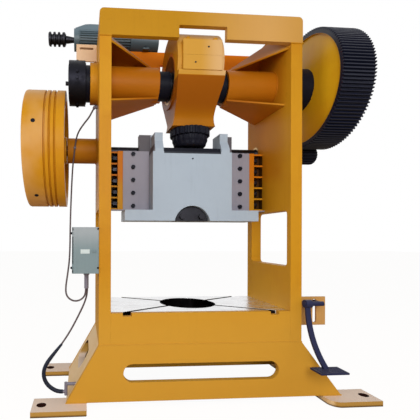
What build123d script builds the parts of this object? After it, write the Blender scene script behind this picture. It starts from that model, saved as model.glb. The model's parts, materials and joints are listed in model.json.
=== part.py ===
from build123d import *
from math import acos, cos, pi, radians, sin, sqrt, tan
import os

os.makedirs("parts", exist_ok=True)

# Driving dimensions, millimetres.
# X runs to the right from the ram centreline, Y to the back from the front of the side plates,
# Z up from the floor. Everything is moved to the centre of the foundation bolts when it is written.

# Frame
frame_width = 1400.0
frame_depth = 633.0
frame_height = 2645.0
side_plate = 80.0
front_plate = 40.0
front_proud = 6.0
seam_gap = 0.3
half_width = frame_width / 2
inner_half = half_width - side_plate

# Base and feet
foot_thickness = 36.0
flare_top = 409.0
base_offset = 35.0
base_spread = 250.0
base_bottom_half = half_width + base_spread
flare_plate = 40.0
foot_reach = 216.0
foot_width = 352.0
foot_length = 190.0
foot_outer = base_bottom_half + foot_reach
foot_inner = foot_outer - foot_width
foot_front = -110.0
foot_back = foot_front + foot_length
foot_corner_radius = 70.0
bolt_edge = 59.0
bolt_half_spacing = foot_outer - bolt_edge
bolt_line_y = foot_front + foot_length / 2
foundation_hole_radius = 31.0
base_slot_margin = 165.0
base_slot_half_length = half_width - base_slot_margin
base_slot_height = 122.0
base_slot_z = 223.0
flare_slot_front = 205.0
flare_slot_back = frame_depth - 73
flare_slot_height = 135.0
flare_slot_z = 236.0

# Table and bolster
table_height = 622.0
bolster_thickness = 90.0
bolster_hole_radius = 210.0
bolster_hole_y = frame_depth / 2 + 33.5
tslot_width = 30.0
tslot_foot_width = 54.0
tslot_depth = 44.0
tslot_foot_height = 20.0
tslot_end_margin = 110.0
tslot_end_x = inner_half - tslot_end_margin
rib_thickness = 40.0

# Crankshaft and its housings
crank_y = 295.0
crank_below_top = 382.0
crank_z = frame_height - crank_below_top
crank_throw = 50.0
pin_z = crank_z + crank_throw
journal_radius = 95.0
eccentric_radius = 160.0
eccentric_half_width = 160.0
strap_half_width = 163.0
running_fit = 0.05
side_play = 2.0
collar_radius = 105.0
collar_width = 82.0
collar_inner_end = strap_half_width + 8
housing_inner_end = collar_inner_end + collar_width + side_play
housing_radius = 128.0
housing_outer_left = half_width + 56
housing_outer_right = half_width + 60
housing_outer_radius = 146.0
crank_bush_wall = 15.0
crank_bush_radius = journal_radius + crank_bush_wall
gusset_plate = 12.0
gusset_front_y = 20.0
gusset_back_y = 515.0
gusset_low_z = crank_z + 187
gusset_high_z = crank_z + 355
gusset_ridge_half_width = 30.0
lower_web_z = crank_z - 188
lower_web_half_depth = 222.0
lower_web_tip_half_depth = 70.0

# Brake on the left end of the crankshaft
drum_width = 126.0
drum_inner_end = housing_outer_left + 30
drum_outer_end = drum_inner_end + drum_width
drum_radius = 142.0
drum_boss_radius = 128.0
band_thickness = 15.0
band_width = 118.0
band_gap_degrees = 16.0
crank_stub_radius = 15.0
crank_stub_length = 24.0

# Gear pair
gear_module = 7.5
gear_teeth = 114
pinion_teeth = 18
pressure_angle = 20.0
backlash = 1.0
addendum_factor = 0.9
gear_width = 228.0
clutch_ring_radius = 158.0
clutch_ring_width = 118.0
gear_hub_radius = 158.0
gear_hub_end = housing_outer_right + side_play + clutch_ring_width
gear_inner_end = gear_hub_end + 19
gear_outer_end = gear_inner_end + gear_width
rim_wall = 24.0
web_thickness = 46.0
web_set_back = 14.0
gear_pitch_radius = gear_module * gear_teeth / 2
pinion_pitch_radius = gear_module * pinion_teeth / 2
pinion_tip_radius = pinion_pitch_radius + addendum_factor * gear_module
centre_distance = gear_pitch_radius + pinion_pitch_radius

# Drive shaft and flywheel
shaft_y = 510.0
shaft_z = crank_z - sqrt(centre_distance ** 2 - (shaft_y - crank_y) ** 2)
mesh_angle = acos((shaft_y - crank_y) / centre_distance)
shaft_radius = 42.0
shaft_middle_radius = 38.0
shaft_housing_radius = 98.0
shaft_housing_left_end = half_width + 225
shaft_housing_right_end = half_width + 178
shaft_bush_wall = 15.0
shaft_bush_radius = shaft_radius + shaft_bush_wall
flywheel_radius = 446.0
flywheel_width = 291.0
flywheel_inner_face = shaft_housing_left_end + 10
flywheel_outer_face = flywheel_inner_face + flywheel_width
flywheel_corner = 14.0
flywheel_rim_wall = 70.0
flywheel_web = 55.0
flywheel_hub_radius = 105.0
flywheel_groove_first = flywheel_inner_face + 67
belt_groove_pitch = 36.0
belt_groove_width = 15.0
belt_groove_depth = 16.0
belt_grooves = 3
lifting_hole_radius = 9.0
lifting_hole_inset = 81.0
lifting_holes = 5
lifting_hole_start = 77.5

# Connecting rod and screw
strap_radius = 262.0
strap_rise = 50.0
strap_bush_wall = 18.0
strap_bush_radius = eccentric_radius + strap_bush_wall
strap_middle_z = pin_z + strap_rise
cap_front_y = 3.0
cap_half_width = 135.0
cap_block_bottom = strap_middle_z - 99
cap_block_top = strap_middle_z + 106
cap_step_y = 75.0
strap_lug_back = 310.0
strap_lug_height = 80.0
cap_bolt_x = 96.0
cap_bolt_front = 264.0
cap_bolt_back = 286.0
cap_bolt_radius = 19.0
rod_length = 371.0
rod_bottom_z = pin_z - rod_length
rod_foot_half_depth = 100.0
rod_waist_half_width = 147.0
rod_foot_flare = 13.0
screw_radius = 66.0
screw_top_z = rod_bottom_z + 153
ratchet_radius = 118.0
ratchet_flange_radius = 127.0
ratchet_flange_height = 34.0
ratchet_height = 139.0
ratchet_bottom_z = rod_bottom_z - ratchet_height
ratchet_ribs = 20
neck_radius = 40.0
ball_radius = 58.0
ball_z = ratchet_bottom_z - 163
pivot_clearance = 12.0

# Gibs and ram
gib_bar_margin = 120.0
gib_bar_inner = inner_half - gib_bar_margin
gib_bar_outer = gib_bar_inner + 41
ram_front_y = 216.0
ram_back_y = 455.0
ram_half_width = gib_bar_inner - 203
ram_height = 510.0
ram_flange_half_width = ram_half_width + 205
ram_face_top_z = ball_z + 119
ram_bottom_z = ram_face_top_z - ram_height
ram_flange_top_z = ram_bottom_z + 80
wing_half_width = gib_bar_inner - 1
wing_top_z = ram_face_top_z - 14
ear_outer = ram_half_width - 19
ear_inner = ear_outer - 61
ear_top_z = ram_face_top_z + 146
ear_front_y = 250.0
lug_outer = ram_half_width + 73
lug_top_z = ram_face_top_z + 165
retainer_height = 30.0
shank_recess_radius = 134.0
gib_front_y = 361.0
gib_plate = 29.5
gib_bottom_z = ram_flange_top_z + 10
gib_top_z = ram_face_top_z + 31
guide_play = 0.5
gib_bolt_x = gib_bar_inner - 78
gib_bolt_radius = 15.0
gib_bolt_pitch = 99.5
gib_bolts_each = 5
gib_bolt_z = [gib_bottom_z + 30 + i * gib_bolt_pitch for i in range(gib_bolts_each)]
comb_rib = 13.0
comb_ribs = 6

# Side windows and the crown
window_top = ram_bottom_z + 71
window_sill = 303.0 / 627.0
window_bottom = table_height + window_sill * (ram_bottom_z - table_height)
window_front = 45.0
window_back_strip = 73.0
window_corner_radius = 30.0
crown_height = 177.0
crown_bottom = frame_height - crown_height
crown_notch_half_width = 165.0
crown_notch_height = 85.0
crown_corner_radius = 30.0
crown_pin_radius = 11.0
crown_pin_length = 60.0
rear_plate_y = 530.0
rear_plate_thickness = 40.0
rear_plate_bottom = crank_z - 22
rear_notch_top = pin_z + 232

# Motor
motor_y = 560.0
motor_radius = 84.0
motor_z = frame_height + motor_radius + 4
motor_left = half_width + 180
motor_length = 684.0
motor_right = motor_left - motor_length
motor_deck_thickness = 12.0
motor_pulley_radius = 54.0
motor_pulley_width = 140.0
motor_pulley_right = motor_left + 65
motor_pulley_left = motor_pulley_right + motor_pulley_width
motor_groove_first = motor_pulley_right + 38
motor_shaft_radius = 19.0

# Switch box and its lock
box_left = half_width + 178
box_front_y = 12.0
box_depth = 150.0
box_bottom_z = 886.0
box_top_z = 1194.0
box_wall = 3.0
door_thickness = 16.0
lock_radius = 11.0
lock_x = -half_width - 33
lock_z = 1036.0

# Pedal
pedal_pivot_y = -24.0
pedal_pivot_z = 676.0
pedal_pivot_radius = 16.0
pedal_bracket_y = 52.0
pedal_bracket_plate = 14.0
pedal_bracket_width = 208.0
pedal_bracket_bottom = 512.0
pedal_bracket_top = 711.0
pedal_plate_bottom = 250.0
pedal_plate_thickness = 12.0

# Cables: one from the frame below the brake to the box, one from the box to the base
cable_diameter = 12.0
upper_gland_length = 20.0
upper_gland_radius = 11.0
conduit_x = -half_width - 81
conduit_y = 76.0
conduit_radius = 15.0
conduit_length = 106.0
conduit_end_z = box_bottom_z - conduit_length
gland_nut_height = 14.0
cable_clip_x = -half_width - 169
cable_clip_y = 403.5
cable_clip_width = 12.0
cable_clip_thickness = 2.0
cable_clip_play = 2.5
base_gland_x = -half_width - 217
base_gland_y = 60.0
base_gland_radius = 11.0
base_entry_x = -half_width - 238
base_entry_z = 88.0

# Bends of the cables, as distance from the side plate, Y, and height above the drive shaft,
# share of the height between the conduit and the drive shaft, or height above the conduit's end
upper_bends_by_shaft = [
    (28, 300, 266), (41, 303, 244), (61, 309, 206), (103, 333, 161), (144, 370, 110),
    (161, 396, 56), (169, 404, 0), (175, 401, -62),
]
upper_bends_between = [
    (184, 392, 0.868), (190, 372, 0.752), (194, 340, 0.632), (197, 298, 0.511), (198, 248, 0.39),
    (197, 196, 0.28), (199, 146, 0.183), (207, 112, 0.111), (214, 92, 0.06),
]
upper_bends_by_conduit = [
    (221, 82, 12), (220, 75, -36), (202, 73, -67), (171, 72, -85), (135, 72, -85), (104, 72, -67),
    (86, 72, -36), (86, 72, 0),
]
lower_bends = [
    (75, 82, 0), (75, 82, -35), (91, 81, -95), (131, 77, -179), (184, 72, -280), (246, 68, -375),
    (320, 64, -462), (362, 61, -528), (368, 60, -588), (344, 60, -642), (300, 60, -678),
    (262, 60, -692), (238, 60, -692),
]
cable_rise = shaft_z - conduit_end_z
upper_cable_route = [(-half_width - x, y, shaft_z + z) for x, y, z in upper_bends_by_shaft]
upper_cable_route += [(-half_width - x, y, conduit_end_z + share * cable_rise) for x, y, share in upper_bends_between]
upper_cable_route += [(-half_width - x, y, conduit_end_z + z) for x, y, z in upper_bends_by_conduit]
lower_cable_route = [(-half_width - x, y, conduit_end_z + z) for x, y, z in lower_bends]


def block(x0, x1, y0, y1, z0, z1):
    """Box between two corners."""
    return Pos((x0 + x1) / 2, (y0 + y1) / 2, (z0 + z1) / 2) * Box(abs(x1 - x0), abs(y1 - y0), abs(z1 - z0))


def rod_x(x0, x1, y, z, radius):
    """Cylinder along X."""
    return Pos((x0 + x1) / 2, y, z) * Rot(0, 90, 0) * Cylinder(radius, abs(x1 - x0))


def rod_y(y0, y1, x, z, radius):
    """Cylinder along Y."""
    return Pos(x, (y0 + y1) / 2, z) * Rot(90, 0, 0) * Cylinder(radius, abs(y1 - y0))


def rod_z(z0, z1, x, y, radius):
    """Cylinder along Z."""
    return Pos(x, y, (z0 + z1) / 2) * Cylinder(radius, abs(z1 - z0))


def slab_x(x0, x1, face):
    """A face drawn as (Y, Z), thickened from x0 to x1."""
    return extrude(Plane.YZ.offset(x0) * face, x1 - x0)


def slab_y(y0, y1, face):
    """A face drawn as (X, Z), thickened from y0 to y1."""
    return extrude(Plane.XZ.offset(-y1) * face, y1 - y0)


def slab_z(z0, z1, face):
    """A face drawn as (X, Y), thickened from z0 to z1."""
    return extrude(Plane.XY.offset(z0) * face, z1 - z0)


def polygon(*points):
    return make_face(Polyline(*points, close=True))


def turned_x(points, y, z):
    """Profile of (X, radius) turned about an axis along X."""
    return Pos(0, y, z) * revolve(Plane.XZ * polygon(*points), Axis.X, 360)


def turned_z(points, x, y):
    """Profile of (radius, Z) turned about an axis along Z."""
    return Pos(x, y, 0) * revolve(Plane.XZ * polygon(*points), Axis.Z, 360)


def hexagon_x(x0, x1, y, z, across):
    """Hexagonal head with its axis along X."""
    return slab_x(x0, x1, Pos(y, z) * RegularPolygon(across / sqrt(3), 6))


def hexagon_y(y0, y1, x, z, across):
    """Hexagonal head with its axis along Y."""
    return slab_y(y0, y1, Pos(x, z) * RegularPolygon(across / sqrt(3), 6))


def mirrored(shape):
    """The left-hand twin of a right-hand piece."""
    return mirror(shape, Plane.YZ)


def write(name, shape):
    """Move a piece to the centre of the foundation bolts and save it."""
    moved = Pos(-base_offset, -frame_depth / 2, 0) * shape
    export_step(moved, "parts/" + name + ".step")


# Frame plates


def crown_corner(y0, y1):
    """What is rounded off the right-hand top corner of the crown."""
    r = crown_corner_radius
    corner = block(half_width - r, half_width, y0, y1, frame_height - r, frame_height)
    return corner - rod_y(y0, y1, half_width - r, frame_height - r, r)


def crown_pin():
    """Small pin that stands out at the top of the right side plate."""
    z = frame_height - 40
    return rod_x(half_width, half_width + crown_pin_length, 2 * crown_pin_length, z, crown_pin_radius)


def side_plate_right():
    plate = block(inner_half, half_width, 0, frame_depth, flare_top, frame_height)
    window_back = frame_depth - window_back_strip
    window = Pos((window_front + window_back) / 2, (window_bottom + window_top) / 2) * RectangleRounded(
        window_back - window_front, window_top - window_bottom, window_corner_radius
    )
    plate -= slab_x(inner_half, half_width, window)
    plate -= rod_x(inner_half, half_width, crank_y, crank_z, housing_radius + running_fit)
    plate -= rod_x(inner_half, half_width, shaft_y, shaft_z, shaft_bush_radius + running_fit)
    rebate = front_plate - front_proud
    plate -= block(inner_half, half_width, 0, rebate, crown_bottom, frame_height)
    return plate - crown_corner(rebate, frame_depth)


def crown_front_plate():
    back = front_plate - front_proud
    plate = block(-half_width, half_width, -front_proud, back, crown_bottom, frame_height)
    top = crown_bottom + crown_notch_height
    plate -= block(-crown_notch_half_width, crown_notch_half_width, -front_proud, back, crown_bottom, top)
    corner = crown_corner(-front_proud, back)
    return plate - corner - mirrored(corner)


def crown_rear_plate():
    """Rear tie plate, notched from below where the strap swings back."""
    back = rear_plate_y + rear_plate_thickness
    plate = block(-inner_half, inner_half, rear_plate_y, back, rear_plate_bottom, frame_height)
    w = strap_half_width + 12
    return plate - block(-w, w, rear_plate_y, back, rear_plate_bottom, rear_notch_top)


def table_front_plate():
    plate = block(-inner_half, inner_half, 0, front_plate, flare_top, table_height)
    for side in (-1, 1):
        x = side * tslot_end_x
        plate -= block(x - tslot_width, x + tslot_width, 0, front_plate, table_height - tslot_depth / 2, table_height)
    return plate


def table_rear_plate():
    top = table_height - bolster_thickness
    return block(-inner_half, inner_half, frame_depth - front_plate, frame_depth, flare_top, top)


def table_ribs():
    top = table_height - bolster_thickness
    rib = block(inner_half - rib_thickness, inner_half, front_plate, frame_depth - front_plate, flare_top, top)
    return Compound([rib, mirrored(rib)])


def base_plate(y0, y1):
    """Spread base plate with its long round-ended opening."""
    face = polygon(
        (-half_width, flare_top),
        (base_offset - base_bottom_half, foot_thickness),
        (base_offset + base_bottom_half, foot_thickness),
        (half_width, flare_top),
    )
    face -= Pos(0, base_slot_z) * SlotOverall(2 * base_slot_half_length, base_slot_height)
    return slab_y(y0, y1, face)


def flare_plate_at(side):
    """Sloping end plate of the base, side -1 left or 1 right."""
    bottom = base_offset + side * base_bottom_half
    top = side * half_width
    slope = side * flare_plate
    face = polygon(
        (top, flare_top),
        (bottom, foot_thickness),
        (bottom - slope, foot_thickness),
        (top - side * side_plate, flare_top),
    )
    plate = slab_y(front_plate - front_proud, frame_depth - front_plate + front_proud, face)
    length = flare_slot_back - flare_slot_front
    slot = Pos((flare_slot_front + flare_slot_back) / 2, flare_slot_z) * SlotOverall(length, flare_slot_height)
    x0 = min(bottom, top - side * side_plate) - 1
    x1 = max(bottom, top - side * side_plate) + 1
    return plate - slab_x(x0, x1, slot)


def feet_at(side):
    """Front and rear foot plates on one side, each with its foundation hole."""
    outer = base_offset + side * foot_outer
    inner = base_offset + side * foot_inner
    front = block(inner, outer, foot_front, foot_back, 0, foot_thickness)
    corner = front.edges().filter_by(Axis.Z).sort_by(lambda e: abs(e.center().X) + e.center().Y)[0]
    front = fillet(corner, foot_corner_radius if side > 0 else foot_corner_radius / 8)
    front -= rod_z(0, foot_thickness, base_offset + side * bolt_half_spacing, bolt_line_y, foundation_hole_radius)
    rear = mirror(front, Plane.XZ.offset(-frame_depth / 2))
    return Compound([front, rear])


# Bolster with its four slanting T-slots


def bolster_plate():
    bottom = table_height - bolster_thickness
    plate = block(-inner_half, inner_half, front_plate, frame_depth, bottom, table_height)
    for corner_x in (-tslot_end_x, tslot_end_x):
        for corner_y in (front_plate, frame_depth):
            reach = sqrt(corner_x ** 2 + (corner_y - bolster_hole_y) ** 2)
            turn = Vector(corner_x, corner_y - bolster_hole_y, 0).get_signed_angle(Vector(1, 0, 0), Vector(0, 0, -1))
            place = Pos(0, bolster_hole_y, table_height) * Rot(0, 0, turn)
            throat = Pos(reach / 2 + 60, 0, -tslot_depth / 2) * Box(reach + 120, tslot_width, tslot_depth)
            foot_z = -tslot_depth + tslot_foot_height / 2
            foot = Pos(reach / 2 + 60, 0, foot_z) * Box(reach + 120, tslot_foot_width, tslot_foot_height)
            plate -= place * (throat + foot)
    return plate - rod_z(bottom, table_height, 0, bolster_hole_y, bolster_hole_radius)


# Crank housings with their tapering webs


def web(*corners):
    """Flat web plate on its corners, thickened to the inside."""
    a, b, c = (Vector(*corner) for corner in corners[:3])
    return extrude(make_face(Polyline(*corners, close=True)), gusset_plate, dir=(b - a).cross(c - a).normalized())


def crank_housing_right():
    outer = housing_outer_right
    housing = rod_x(housing_inner_end, outer, crank_y, crank_z, housing_radius)
    housing += rod_x(half_width + seam_gap, outer, crank_y, crank_z, housing_outer_radius)
    return housing + housing_webs() - crank_housing_bore(outer)


def crank_housing_left():
    outer = housing_outer_left
    housing = rod_x(housing_inner_end, outer, crank_y, crank_z, housing_radius)
    housing += rod_x(half_width + seam_gap, outer, crank_y, crank_z, housing_outer_radius)
    return mirrored(housing + housing_webs() - crank_housing_bore(outer))


def housing_webs():
    """Roof-shaped upper webs and a flat lower web between a housing and its side plate."""
    tip_x = housing_inner_end + 8
    wall_x = inner_half - seam_gap
    tip_top = (tip_x, crank_y, crank_z + housing_radius - 10)
    ridge_front = (wall_x, crank_y - gusset_ridge_half_width, gusset_high_z)
    ridge_back = (wall_x, crank_y + gusset_ridge_half_width, gusset_high_z)
    front_low = (wall_x, gusset_front_y, gusset_low_z)
    back_low = (wall_x, gusset_back_y, gusset_low_z)
    webs = web(tip_top, ridge_front, front_low)
    webs += web(tip_top, ridge_back, ridge_front)
    webs += web(tip_top, back_low, ridge_back)
    tip_z = crank_z - sqrt(housing_radius ** 2 - lower_web_tip_half_depth ** 2)
    tip_front = (tip_x, crank_y - lower_web_tip_half_depth, tip_z)
    tip_back = (tip_x, crank_y + lower_web_tip_half_depth, tip_z)
    wall_front = (wall_x, crank_y - lower_web_half_depth, lower_web_z)
    wall_back = (wall_x, crank_y + lower_web_half_depth, lower_web_z)
    webs += web(tip_back, wall_back, wall_front, tip_front)
    return webs & block(0, wall_x, -frame_depth, 2 * frame_depth, 0, frame_height)


def crank_housing_bore(outer):
    return rod_x(housing_inner_end - 40, outer, crank_y, crank_z, crank_bush_radius)


def crank_bush(x0, x1):
    bush = rod_x(x0, x1, crank_y, crank_z, crank_bush_radius - running_fit)
    return bush - rod_x(x0, x1, crank_y, crank_z, journal_radius + running_fit)


def crank_bushes():
    right = crank_bush(housing_inner_end, housing_outer_right)
    left = crank_bush(-housing_outer_left, -housing_inner_end)
    return Compound([left, right])


# Drive shaft housings


def shaft_housing(x0, x1):
    tube = rod_x(x0, x1, shaft_y, shaft_z, shaft_housing_radius)
    return tube - rod_x(x0, x1, shaft_y, shaft_z, shaft_bush_radius)


def shaft_bush(x0, x1):
    bush = rod_x(x0, x1, shaft_y, shaft_z, shaft_bush_radius - running_fit)
    return bush - rod_x(x0, x1, shaft_y, shaft_z, shaft_radius + running_fit)


def shaft_bushes():
    left = shaft_bush(-shaft_housing_left_end, -inner_half)
    right = shaft_bush(inner_half, shaft_housing_right_end)
    return Compound([left, right])


# Crankshaft group


def crankshaft():
    left = -drum_outer_end
    right = gear_outer_end + side_play
    shaft = rod_x(left, right, crank_y, crank_z, journal_radius)
    shaft += rod_x(-eccentric_half_width, eccentric_half_width, crank_y, pin_z, eccentric_radius)
    shaft += rod_x(left - crank_stub_length, left, crank_y, crank_z, crank_stub_radius)
    return shaft


def crank_collar(x0, x1):
    collar = rod_x(x0, x1, crank_y, crank_z, collar_radius)
    return collar - rod_x(x0, x1, crank_y, crank_z, journal_radius + running_fit)


def crank_collars():
    right = crank_collar(collar_inner_end, housing_inner_end - side_play)
    left = crank_collar(-housing_inner_end + side_play, -collar_inner_end)
    return Compound([left, right])


def crank_end_plate():
    inner = gear_outer_end + side_play
    return rod_x(inner, inner + 18, crank_y, crank_z, journal_radius + 22)


def brake_drum():
    drum = turned_x(
        [
            (-drum_outer_end, journal_radius + running_fit),
            (-drum_outer_end, drum_radius - 14),
            (-drum_outer_end + 6, drum_radius),
            (-drum_inner_end, drum_radius),
            (-drum_inner_end, drum_boss_radius),
            (-housing_outer_left - side_play, drum_boss_radius),
            (-housing_outer_left - side_play, journal_radius + running_fit),
        ],
        crank_y,
        crank_z,
    )
    return drum


def brake_band():
    """Lined steel band round the drum, closed by a bolt behind and held by an arm to the side plate."""
    middle = -(drum_inner_end + drum_outer_end) / 2
    x0 = middle - band_width / 2
    x1 = middle + band_width / 2
    inner = drum_radius + running_fit * 4
    outer = inner + band_thickness
    band = rod_x(x0, x1, crank_y, crank_z, outer) - rod_x(x0, x1, crank_y, crank_z, inner)
    half_gap = outer * sin(radians(band_gap_degrees / 2))
    band -= block(x0, x1, crank_y, crank_y + outer + 1, crank_z - half_gap, crank_z + half_gap)
    ear_y = crank_y + outer
    for side in (-1, 1):
        inner_z = crank_z + side * half_gap
        band += block(x0 + 20, x1 - 20, ear_y - 14, ear_y + 46, inner_z, inner_z + side * 14)
    bolt_y = ear_y + 26
    band += rod_z(crank_z - half_gap - 40, crank_z + half_gap + 40, middle, bolt_y, 8)
    arm_top = crank_z - half_gap - 14
    band += block(x1 - 40, -half_width - seam_gap, ear_y + 6, ear_y + 40, arm_top - 16, arm_top)
    return band


# Gears


def involute(angle):
    return tan(angle) - angle


def gear_face(teeth, bore, phase):
    """Spur gear outline with straight-chord involute flanks; one tooth points at the phase angle."""
    pitch = gear_module * teeth / 2
    base = pitch * cos(radians(pressure_angle))
    root = pitch - 1.25 * gear_module
    tip = pitch + addendum_factor * gear_module
    half_pitch = pi / (2 * teeth) - backlash / (4 * pitch) + involute(radians(pressure_angle))
    flank = [max(root, base) + 0.02, pitch, (pitch + tip) / 2, tip]
    corners = []
    for i in range(teeth):
        middle = phase + 2 * pi * i / teeth
        half = [half_pitch - involute(acos(base / r)) for r in flank]
        left = [(root, middle - half[0])] if root < base else []
        corners += left + [(r, middle - h) for r, h in zip(flank, half)]
        right = [(root, middle + half[0])] if root < base else []
        corners += [(r, middle + h) for r, h in reversed(list(zip(flank, half)))] + right
    points = [(r * cos(a), r * sin(a)) for r, a in corners]
    return polygon(*points) - Circle(bore)


def bull_gear():
    """Large gear: toothed rim, shallow cone of a web and a hub that runs on the crankshaft."""
    rim_inner = gear_pitch_radius - 1.25 * gear_module - rim_wall
    face = gear_face(gear_teeth, rim_inner, -mesh_angle)
    rim = Pos(0, crank_y, crank_z) * slab_x(gear_inner_end, gear_outer_end, face)
    bore = journal_radius + running_fit
    web_left = gear_inner_end + web_set_back
    web_right = web_left + web_thickness
    dish = turned_x(
        [
            (gear_hub_end, bore),
            (gear_hub_end, gear_hub_radius),
            (web_left, rim_inner + 1),
            (web_right, rim_inner + 1),
            (web_right, gear_hub_radius + 25),
            (gear_outer_end, gear_hub_radius),
            (gear_outer_end, bore),
        ],
        crank_y,
        crank_z,
    )
    return rim + dish


def clutch_ring():
    """Ring bolted to the inner face of the bull gear hub."""
    x0 = gear_hub_end - clutch_ring_width
    ring = rod_x(x0, gear_hub_end, crank_y, crank_z, clutch_ring_radius)
    return ring - rod_x(x0, gear_hub_end, crank_y, crank_z, journal_radius + running_fit * 4)


def pinion():
    """Pinion with the ends of its teeth turned round."""
    phase = pi - mesh_angle + pi / pinion_teeth
    face = gear_face(pinion_teeth, shaft_radius, phase)
    x0 = gear_inner_end - 4
    x1 = gear_outer_end
    tip = pinion_tip_radius
    form = turned_x(
        [
            (x0, 0),
            (x0, tip - 4),
            (x0 + 4, tip + 1),
            (x1 - 26, tip + 1),
            (x1 - 12, tip - 4),
            (x1 - 3, tip - 12),
            (x1, tip - 22),
            (x1, 0),
        ],
        shaft_y,
        shaft_z,
    )
    return Pos(0, shaft_y, shaft_z) * slab_x(x0, x1, face) & form


def drive_shaft():
    right = gear_outer_end
    left = -flywheel_outer_face - 20
    neck = shaft_middle_radius
    return turned_x(
        [
            (left, 0),
            (left, shaft_radius),
            (-inner_half, shaft_radius),
            (-inner_half + 20, neck),
            (inner_half - 20, neck),
            (inner_half, shaft_radius),
            (right, shaft_radius),
            (right, 0),
        ],
        shaft_y,
        shaft_z,
    )


def flywheel():
    inner = -flywheel_inner_face
    outer = -flywheel_outer_face
    rim_inner = flywheel_radius - flywheel_rim_wall
    web_x0 = outer + 90
    web_x1 = web_x0 + flywheel_web
    points = [
        (outer, shaft_radius),
        (outer, flywheel_hub_radius),
        (web_x0, flywheel_hub_radius + 16),
        (web_x0, rim_inner - 16),
        (outer, rim_inner),
        (outer, flywheel_radius - flywheel_corner),
        (outer + flywheel_corner * 0.3, flywheel_radius - flywheel_corner * 0.3),
        (outer + flywheel_corner, flywheel_radius),
    ]
    for i in reversed(range(belt_grooves)):
        x = -(flywheel_groove_first + i * belt_groove_pitch)
        half = belt_groove_width / 2
        bottom = flywheel_radius - belt_groove_depth
        points += [(x - half, flywheel_radius), (x - half / 3, bottom), (x + half / 3, bottom), (x + half, flywheel_radius)]
    points += [
        (inner, flywheel_radius),
        (inner, rim_inner),
        (web_x1, rim_inner - 16),
        (web_x1, flywheel_hub_radius + 16),
        (inner, flywheel_hub_radius),
        (inner, shaft_radius),
    ]
    wheel = turned_x(points, shaft_y, shaft_z)
    for i in range(lifting_holes):
        turn = Rot(lifting_hole_start + i * 360 / lifting_holes, 0, 0)
        hole = turn * Pos(0, 0, flywheel_radius) * Cylinder(lifting_hole_radius, 60)
        wheel -= Pos(outer + lifting_hole_inset, shaft_y, shaft_z) * hole
    return wheel


def shaft_end_plate():
    left = -flywheel_outer_face - 20
    plate = rod_x(left - 14, left, shaft_y, shaft_z, shaft_radius + 16)
    return plate + hexagon_x(left - 32, left - 14, shaft_y, shaft_z, 46)


# Connecting rod group


def rod_envelope():
    """Front view of the rod: the width narrows to a waist and flares again at its foot."""
    w = strap_half_width
    n = rod_waist_half_width
    foot = n + rod_foot_flare
    shoulder = (w, crank_z - 50)
    waist = [(w - 9, crank_z - 130), (n, rod_bottom_z + 85), (n + 2, rod_bottom_z + 40)]
    right = Spline(shoulder, *waist, (foot, rod_bottom_z), tangents=[(0, -1), (0.45, -1)])
    left = mirror(right, Plane.YZ)
    top = Polyline(shoulder, (w, frame_height), (-w, frame_height), (-w, crank_z - 50))
    return slab_y(-200, 900, make_face(top + right + Line((foot, rod_bottom_z), (-foot, rod_bottom_z)) + left))


def strap():
    """Round strap with the flat block on its front."""
    w = strap_half_width
    body = rod_x(-w, w, crank_y, strap_middle_z, strap_radius)
    front = cap_half_width
    body += block(-front, front, cap_front_y, crank_y, cap_block_bottom, cap_block_top)
    lug = strap_lug_height
    return body + block(-front, front, crank_y, crank_y + strap_lug_back, pin_z - lug, pin_z + lug)


def strap_bore():
    w = strap_half_width
    return rod_x(-w, w, crank_y, pin_z, strap_bush_radius)


def above_joint(gap):
    """Everything above the stepped joint of rod and cap, kept clear of it by the gap."""
    side = 2 * strap_half_width
    front = cap_front_y - strap_radius
    back = crank_y + 2 * strap_radius
    top = strap_middle_z + 2 * strap_radius
    behind = block(-side, side, cap_step_y + gap, back, pin_z + gap, top)
    return behind + block(-side, side, front, cap_step_y + gap, strap_middle_z + gap, top)


def conrod_cap():
    return (strap() & above_joint(seam_gap / 2)) - strap_bore()


def conrod():
    foot = rod_foot_half_depth
    front = Spline(
        (cap_front_y + 6, cap_block_bottom + 2),
        (crank_y - 238, pin_z - 135),
        (crank_y - 165, pin_z - 225),
        (crank_y - foot - 12, rod_bottom_z + 75),
        (crank_y - foot, rod_bottom_z),
        tangents=[(0.35, -1), (0, -1)],
    )
    rest = Polyline(
        (crank_y - foot, rod_bottom_z),
        (crank_y + foot, rod_bottom_z),
        (crank_y + foot + 4, rod_bottom_z + 48),
        (crank_y + foot + 70, pin_z - 223),
        (crank_y + strap_radius - 16, pin_z - 30),
        (crank_y, pin_z),
        (cap_front_y + 6, cap_block_bottom + 2),
    )
    shank = slab_x(-strap_half_width, strap_half_width, make_face(front + rest)) & rod_envelope()
    body = (strap() + shank) - above_joint(-seam_gap / 2)
    body -= strap_bore()
    return body - rod_z(rod_bottom_z, screw_top_z + 20, 0, crank_y, screw_radius + running_fit)


def cap_bolts():
    """Hexagon heads of the four long bolts that clamp the cap."""
    heads = []
    for x in (-cap_bolt_x, cap_bolt_x):
        for y, top in ((crank_y - cap_bolt_front, cap_block_top), (crank_y + cap_bolt_back, pin_z + strap_lug_height)):
            heads.append(slab_z(top, top + 20, Pos(x, y) * RegularPolygon(cap_bolt_radius, 6)))
    return Compound(heads)


def conrod_bush():
    w = strap_half_width - 1
    bush = rod_x(-w, w, crank_y, pin_z, strap_bush_radius - running_fit)
    return bush - rod_x(-w, w, crank_y, pin_z, eccentric_radius + running_fit)


def adjusting_screw():
    """Ball-ended screw: threaded shank in the rod, neck and ball in the ram."""
    shank = turned_z(
        [
            (0, ball_z),
            (neck_radius, ball_z),
            (neck_radius, ratchet_bottom_z - 6),
            (screw_radius, ratchet_bottom_z + 14),
            (screw_radius, screw_top_z),
            (0, screw_top_z),
        ],
        0,
        crank_y,
    )
    return shank + Pos(0, crank_y, ball_z) * Sphere(ball_radius)


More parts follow.
